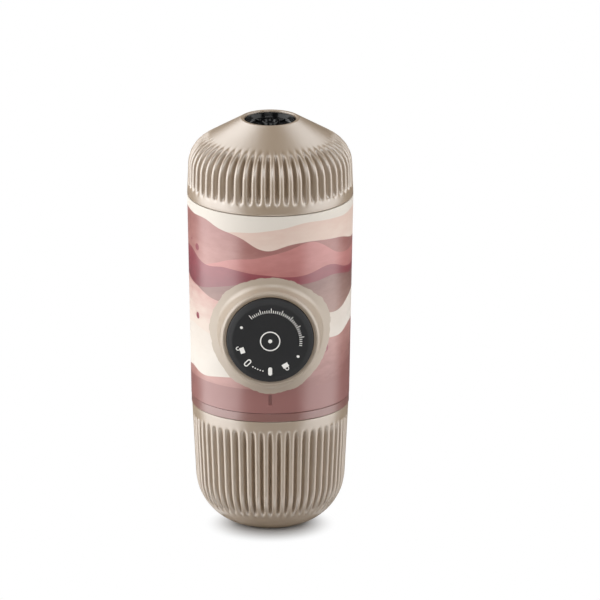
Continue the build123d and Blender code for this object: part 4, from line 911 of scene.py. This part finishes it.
@dataclass
class DrinkingCup:
    """The fluted cup that closes the lower end and that the maker stands on."""

    rim_height: float = 46.1
    rim_radius: float = 29.2
    corner: Pair = (27.05, 4.93)
    corner_radius: float = 20.2
    base_radius: float = 13.5
    wall: float = 3.0
    floor: float = 3.0
    floor_radius: float = 24.04
    inner_rounding: Radii = (15.0, 0.4, 0.35)
    flute_top: float = 43.7
    flute_length: float = 40.0
    flute_depth: float = 2.2
    longest_run: float = 0.9
    segments: int = FLUTE_COUNT * 18

    def outer_skin(self) -> list[Vector]:
        """Returns the outer profile from the rim down, with rings for the flutes' ends."""
        corners = [(self.rim_radius, self.rim_height), self.corner, (self.base_radius, 0)]
        path = rounded_path(corners, [self.corner_radius], 18)
        drop = (path[1] - path[0]).length
        steps = ring_steps(self.rim_height - self.flute_top, (3.0, 6.0, 10.0))
        wall = [path[0].lerp(path[1], step / drop) for step in steps if step < drop - 0.5]
        return [path[0], *wall, *refined(path[1:], self.longest_run)]

    def build(self) -> None:
        """Builds the cup."""
        skin = self.outer_skin()
        inside = rounded_path(
            [(0, self.floor), (self.floor_radius, self.floor),
             (self.rim_radius - self.wall, self.rim_height), skin[0], skin[1]],
            self.inner_rounding,
        )
        profile = [*inside[:-1], *skin[1:], Vector((0, 0))]
        shell = revolved(profile, self.segments)
        flutes = Fluting(self.rim_radius, self.flute_length, depth=self.flute_depth)
        flutes.press(shell, profile, len(inside), len(inside) + len(skin) - 4)
        cup = piece_from(shell, "cup_shell", Slot.BEIGE_SHELL, Body.CUP, 60.0)
        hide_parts("drinking_cup")


@dataclass
class VentInsert:
    """The glossy dish in the tank's end, with ribs round a plain boss."""

    radius: float = 9.7
    low: float = 151.0
    floor: float = 153.4
    rim: float = 155.5
    rim_wall: float = 1.0
    rim_slope: float = 0.5
    boss_radius: float = 3.4
    boss_top: float = 154.9
    crown: Pair = (2.3, 3.0)
    hollow_radius: float = 1.9
    hollow_depth: float = 0.7
    ribs: int = 4
    rib_angle: float = 45.0
    rib_size: Triple = (2.6, 0.9, 1.0)
    rib_place: float = 6.3
    rib_lift: float = 0.25
    rib_edge: float = 0.25
    rounding: Radii = (0.15, 0.15, 0.25, 0.5, 0.9, 0.3, 0.2, 0.0)
    segments: int = 120

    def build(self) -> None:
        """Builds the dish, its boss and its ribs."""
        hollow = self.boss_top - self.hollow_depth
        bore = self.radius - self.rim_wall
        profile = rounded_path(
            [(0, hollow), (self.hollow_radius, hollow), (self.crown[0], self.boss_top),
             (self.crown[1], self.boss_top), (self.boss_radius, self.floor),
             (bore - self.rim_slope, self.floor), (bore, self.rim), (self.radius, self.rim),
             (self.radius, self.low), (0, self.low)],
            self.rounding, 5,
        )
        dish = revolved(profile, self.segments)
        for index in range(self.ribs):
            rib = bmesh.new()
            bmesh.ops.create_cube(rib, size=1.0)
            bmesh.ops.scale(rib, vec=self.rib_size, verts=rib.verts)
            bmesh.ops.bevel(
                rib, geom=rib.edges[:], offset=self.rib_edge, affect="EDGES", segments=3,
                profile=0.5,
            )
            turn = math.radians(self.rib_angle) + math.tau * index / self.ribs
            stand = Matrix.Translation((self.rib_place, 0, self.floor + self.rib_lift))
            place = Matrix.Rotation(turn, 4, "Z") @ stand
            move(rib, place)
            add_mesh(dish, rib)
        insert = piece_from(dish, "vent_dish", Slot.GLOSS_BLACK, Body.TANK)
        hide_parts("vent_insert")


@dataclass(frozen=True)
class Mark:
    """A row of round-ended marks round the knob's middle, each with its top outwards.

    Its size is a mark's height and width, and its angles run counter-clockwise from the right.
    """

    size: Pair
    angle: float
    radius: float = 11.85
    step: float = 0.0
    count: int = 1
    hollow: bool = False


# In order: index, zero, dots, side dots, tall and short ticks, and the ring with its middle.
MARKS = (
    Mark((3.2, 1.5), -90.0, 11.75),
    Mark((3.2, 1.75), -135.0, hollow=True),
    Mark((0.52, 0.5), -103.2, step=-4.95, count=5),
    Mark((1.1, 1.0), 153.4, 11.95, step=-183.0, count=2),
    Mark((1.9, 0.26), 128.0, step=-20.0, count=7),
    *(Mark((1.1, 0.26), 124.0 - 4.0 * row, 11.45, step=-20.0, count=7) for row in range(4)),
    Mark((7.6, 7.6), 90.0, 0.0, hollow=True),
    Mark((1.5, 1.5), 90.0, 0.0),
)


@dataclass
class Knob:
    """The black push knob with its raised white marks."""

    radius: float = 16.2
    face_out: float = 36.94
    flat_radius: float = 14.1
    rim_drop: float = 1.15
    back_out: float = 33.8
    bore_radius: float = 3.2
    face_wall: float = 1.5
    rounding: Radii = (1.6, 0.45, 0.1, 0.0, 0.0)
    segments: int = 180
    mark_height: float = 0.05
    mark_depth: float = 0.02
    stroke: float = 0.42
    lock_radius: float = 11.65
    lock_angles: Pair = (-59.0, 199.0)
    lock_size: Triple = (2.3, 1.7, 1.0)
    lock_drop: float = 0.65
    shackle_radii: Pair = (0.775, 0.475)
    shackle_lift: float = 0.55
    shackle_stretch: float = 1.1
    shackle_foot: float = 0.15
    shackle_shift: float = 1.25
    marks: BMesh = field(default_factory=bmesh.new)

    def build(self) -> None:
        """Builds the cap and its marks."""
        bottom = self.face_out - self.face_wall
        profile = rounded_path(
            [(0, self.face_out), (self.flat_radius, self.face_out),
             (self.radius, self.face_out - self.rim_drop), (self.radius, self.back_out),
             (self.bore_radius, self.back_out), (self.bore_radius, bottom), (0, bottom)],
            self.rounding, 8,
        )
        cap = revolved(profile, self.segments)
        move(cap, PUMP_TURN)
        knob = piece_from(cap, "knob_face", Slot.KNOB_BLACK, Body.KNOB)
        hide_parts("knob_cap")
        self.build_marks()

    def place(self, shape: BMesh, angle: float, radius: float) -> None:
        """Turns a flat mark so that its top points outwards, and adds it to the marks.

        Args:
            shape: the mark, round the origin.
            angle: where it stands, in degrees from the right, counter-clockwise.
            radius: how far from the knob's middle.
        """
        turn = Matrix.Rotation(math.radians(angle), 4, "Z") @ Matrix.Translation((radius, 0, 0))
        turn = turn @ Matrix.Rotation(math.radians(-90), 4, "Z")
        move(shape, turn)
        add_mesh(self.marks, shape)

    def stadium(self, length: float, width: float, hollow: bool = False) -> BMesh:
        """Returns a round-ended face, or a ring of one stroke's width, upright round the origin.

        Args:
            length: its height.
            width: its width.
            hollow: whether it is a ring.

        Returns:
            The flat mesh.
        """
        shape = bmesh.new()
        steps = 32
        for inset in (0.0, 2 * self.stroke) if hollow else (0.0,):
            loop = bmesh.new()
            radius = (width - inset) / 2
            bmesh.ops.create_circle(loop, cap_ends=not hollow, radius=radius, segments=steps)
            move(loop, Matrix.Rotation(math.pi / steps, 4, "Z"))
            for vert in loop.verts:
                vert.co.y += math.copysign((length - width) / 2, vert.co.y)
            add_mesh(shape, loop)
        if hollow:
            bmesh.ops.bridge_loops(shape, edges=shape.edges[:])
        return shape

    def padlock(self, opened: bool) -> BMesh:
        """Returns a padlock pictogram, closed or open."""
        shape = bmesh.new()
        bmesh.ops.create_grid(shape, x_segments=1, y_segments=1, size=0.5)
        bmesh.ops.scale(shape, vec=self.lock_size, verts=shape.verts)
        bmesh.ops.translate(shape, vec=(0, -self.lock_drop, 0), verts=shape.verts)
        shackle = bmesh.new()
        for radius in self.shackle_radii:
            loop = bmesh.new()
            bmesh.ops.create_circle(loop, radius=radius, segments=24)
            add_mesh(shackle, loop)
        bmesh.ops.bridge_loops(shackle, edges=shackle.edges[:])
        for vert in shackle.verts:
            arch = self.shackle_lift + vert.co.y * self.shackle_stretch
            vert.co.y = arch if vert.co.y > 1e-5 else self.shackle_foot
        if opened:
            bmesh.ops.translate(shackle, vec=(self.shackle_shift, 0, 0), verts=shackle.verts)
        add_mesh(shape, shackle)
        return shape

    def build_marks(self) -> None:
        """Builds the raised marks and the padlocks among them."""
        for mark in MARKS:
            for index in range(mark.count):
                shape = self.stadium(*mark.size, mark.hollow)
                self.place(shape, mark.angle + mark.step * index, mark.radius)
        for angle, opened in zip(self.lock_angles, (False, True)):
            self.place(self.padlock(opened), angle, self.lock_radius)
        marks = self.marks
        bmesh.ops.translate(marks, vec=(0, 0, self.face_out - self.mark_depth), verts=marks.verts)
        raised = bmesh.ops.extrude_face_region(marks, geom=marks.faces[:], use_keep_orig=True)
        tops = [item for item in raised["geom"] if isinstance(item, bmesh.types.BMVert)]
        bmesh.ops.translate(marks, vec=(0, 0, self.mark_depth + self.mark_height), verts=tops)
        move(marks, PUMP_TURN)
        piece_from(marks, "knob_marks", Slot.KNOB_BLACK, Body.KNOB, finish=INK)


@dataclass
class Spring:
    """A coil spring, built once in its resting place.

    The wire's end centres are at the low and high levels on its place's Z axis.
    """

    name: str
    node: str
    far_body: Body
    radius: float
    wire: float
    turns: int
    low: float
    high: float
    place: Matrix
    phase: float = 0.0
    steps_per_turn: int = 32
    wire_sides: int = 12

    def build(self) -> None:
        """Builds the coil in its place and hides the imported spring."""
        coil = bmesh.new()
        bmesh.ops.create_circle(coil, radius=self.wire, segments=self.wire_sides)
        start = Matrix.Translation((self.radius, 0, self.low))
        stand = start @ Matrix.Rotation(math.radians(90), 4, "X")
        move(coil, stand)
        steps = self.turns * self.steps_per_turn
        bmesh.ops.spin(
            coil, geom=coil.verts[:] + coil.edges[:], cent=(0, 0, 0), axis=(0, 0, 1),
            dvec=(0, 0, (self.high - self.low) / steps), angle=math.tau * self.turns, steps=steps,
        )
        ends = [edge for edge in coil.edges if edge.is_boundary]
        bmesh.ops.holes_fill(coil, edges=ends, sides=0)
        turn = self.place @ Matrix.Rotation(math.radians(self.phase), 4, "Z")
        move(coil, turn)
        spring = piece_from(coil, self.name, Slot.STEEL, sharp=60.0)
        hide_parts(self.node)
        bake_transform(spring)


VALVE_PLACE = Matrix.Translation((0, 17.036, 0))
SPRINGS = (
    Spring("return_coil", "return_spring", Body.PISTON, radius=12.0, wire=0.75, turns=9,
           low=-9.034, high=30.998, place=PUMP_TURN, phase=-90.0),
    Spring("inlet_coil", "inlet_spring", Body.INLET_POPPET, radius=2.1, wire=0.25, turns=6,
           low=90.8, high=99.1, place=VALVE_PLACE),
    Spring("outlet_coil", "outlet_spring", Body.OUTLET_POPPET, radius=2.1, wire=0.25, turns=4,
           low=65.1, high=68.6, place=VALVE_PLACE),
)


def dress_packed() -> None:
    """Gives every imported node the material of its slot."""
    slots = {entry["node"]: entry["material_slot"] for entry in frame["record"]["subparts"]}
    for name, node in frame["nodes"].items():
        finish = FINISHES[Slot(slots[name])]
        if not node.material_slots:
            node.data.materials.append(None)
        for slot in node.material_slots:
            slot.material = finish.material()
        LOG.info("%s: %s", name, finish.name)


@dataclass(frozen=True)
class Panel:
    """A soft rectangular lamp that faces the object's middle; its azimuth runs to the right."""

    name: str
    azimuth: float
    elevation: float
    size: Pair
    power: float
    distance: float = 700.0
    middle: float = 80.0

    def hang(self) -> None:
        """Adds the lamp."""
        light = bpy.data.lights.new(self.name, "AREA")
        light.shape = "RECTANGLE"
        light.size, light.size_y = self.size[0] * MM, self.size[1] * MM
        light.energy = self.power
        lamp = placed(self.name, light)
        across, up = math.radians(self.azimuth), math.radians(self.elevation)
        flat = math.cos(up)
        way = Vector((math.sin(across) * flat, -math.cos(across) * flat, math.sin(up)))
        lamp.location = (Vector((0, 0, self.middle)) + way * self.distance) * MM
        lamp.rotation_euler = (-way).to_track_quat("-Z", "Y").to_euler()


@dataclass
class Studio:
    """Pale floor, soft lamps and the camera.

    To light, the floor is a dull mirror, so that it lights the object's lower parts; to the
    camera it is plain, shaded near the object and white further out.
    """

    view_width: float = 224.13
    distance: float = 9000.0
    sight: float = 20000.0
    elevation: float = 17.0
    aim: Triple = (11.1, 0.0, 85.0)
    sensor: float = 36.0
    floor_radius: float = 2600.0
    floor_colour: float = 0.75
    floor_polish: float = 0.92
    floor_roughness: float = 0.15
    floor_seen: float = 0.52
    shadow_middle: Triple = (0.0, -8.0, 0.0)
    shadow_reach: Pair = (11.0, 25.0)
    fill: float = 0.03
    panels: tuple[Panel, ...] = (
        Panel("left_panel", -80, 18, (1000, 620), 7.0),
        Panel("right_panel", 80, 18, (820, 620), 4.2),
        Panel("rear_left_panel", -144, 47, (420, 540), 2.0),
        Panel("rear_right_panel", 145, 47, (360, 420), 1.05),
        Panel("front_panel", 10, 40, (420, 380), 1.75),
    )

    def build(self) -> None:
        """Builds the floor, the lamps and the camera."""
        self.build_floor()
        self.build_world()
        for panel in self.panels:
            panel.hang()
        self.build_camera()

    def build_floor(self) -> None:
        """Builds the floor: white with the object's shadow from above, and clear from below."""
        bm = bmesh.new()
        bmesh.ops.create_circle(bm, cap_ends=True, radius=self.floor_radius, segments=96)
        mesh = mesh_of(bm, "studio_floor")
        floor = placed("studio_floor", mesh)
        material, wiring, shader = new_material("floor_white")
        surface = shader.outputs[0]
        seen = wiring.node("LightPath").outputs["Is Camera Ray"]
        pale = wiring.mix(seen, (self.floor_colour,) * 3, (self.floor_seen,) * 3)
        polish = wiring.maths("MULTIPLY_ADD", seen, -self.floor_polish, self.floor_polish)
        wiring.feed(shader, {
            "Base Color": pale, "Metallic": polish, "Roughness": self.floor_roughness,
            "Specular IOR Level": 0.0,
        })
        ends = {0: wiring.millimetres(), 1: self.shadow_middle}
        away = wiring.node("VectorMath", ends, operation="DISTANCE").outputs["Value"]
        bare = wiring.maths("MULTIPLY", seen, wiring.smooth_step(away, *self.shadow_reach))
        white = wiring.node("Emission", {"Color": WHITE, "Strength": 1.0}).outputs[0]
        below = wiring.node("NewGeometry").outputs["Backfacing"]
        clear = wiring.node("BsdfTransparent").outputs[0]
        for share, other in ((bare, white), (below, clear)):
            inputs = {0: share, 1: surface, 2: other}
            surface = wiring.node("MixShader", inputs).outputs[0]
        wiring.feed(material.node_tree.nodes["Material Output"], {"Surface": surface})
        mesh.materials.append(material)

    def build_world(self) -> None:
        """Builds the surroundings: a little fill light, and white behind the object."""
        world = bpy.data.worlds.new("studio_world")
        bpy.context.scene.world = world
        world.use_nodes = True
        tree = world.node_tree
        wiring = Wiring(tree)
        fill = tree.nodes["Background"]
        wiring.feed(fill, {"Color": WHITE, "Strength": self.fill})
        white = wiring.node("Background", {"Color": WHITE, "Strength": 1.0})
        seen = wiring.node("LightPath").outputs["Is Camera Ray"]
        both = {0: seen, 1: fill.outputs[0], 2: white.outputs[0]}
        mixed = wiring.node("MixShader", both).outputs[0]
        wiring.feed(tree.nodes["World Output"], {"Surface": mixed})

    def build_camera(self) -> None:
        """Adds the camera."""
        data = bpy.data.cameras.new("view_camera")
        data.sensor_width = self.sensor
        data.lens = self.sensor * self.distance / self.view_width
        camera = placed("view_camera", data)
        lift = math.radians(self.elevation)
        back = Vector((0, -math.cos(lift), math.sin(lift))) * self.distance
        camera.location = (Vector(self.aim) + back) * MM
        camera.rotation_euler = (math.radians(90) - lift, 0, 0)
        data.clip_end = self.sight * MM
        bpy.context.scene.camera = camera
        bpy.context.scene.view_settings.view_transform = "Standard"


def main() -> None:
    """Builds the maker's pieces in order, then the studio."""
    logging.basicConfig(level=logging.INFO, format="%(message)s")
    dress_packed()
    WaterTank().build()
    DrinkingCup().build()
    VentInsert().build()
    Knob().build()
    for spring in SPRINGS:
        spring.build()
    Studio().build()


if __name__ == "__main__":
    main()
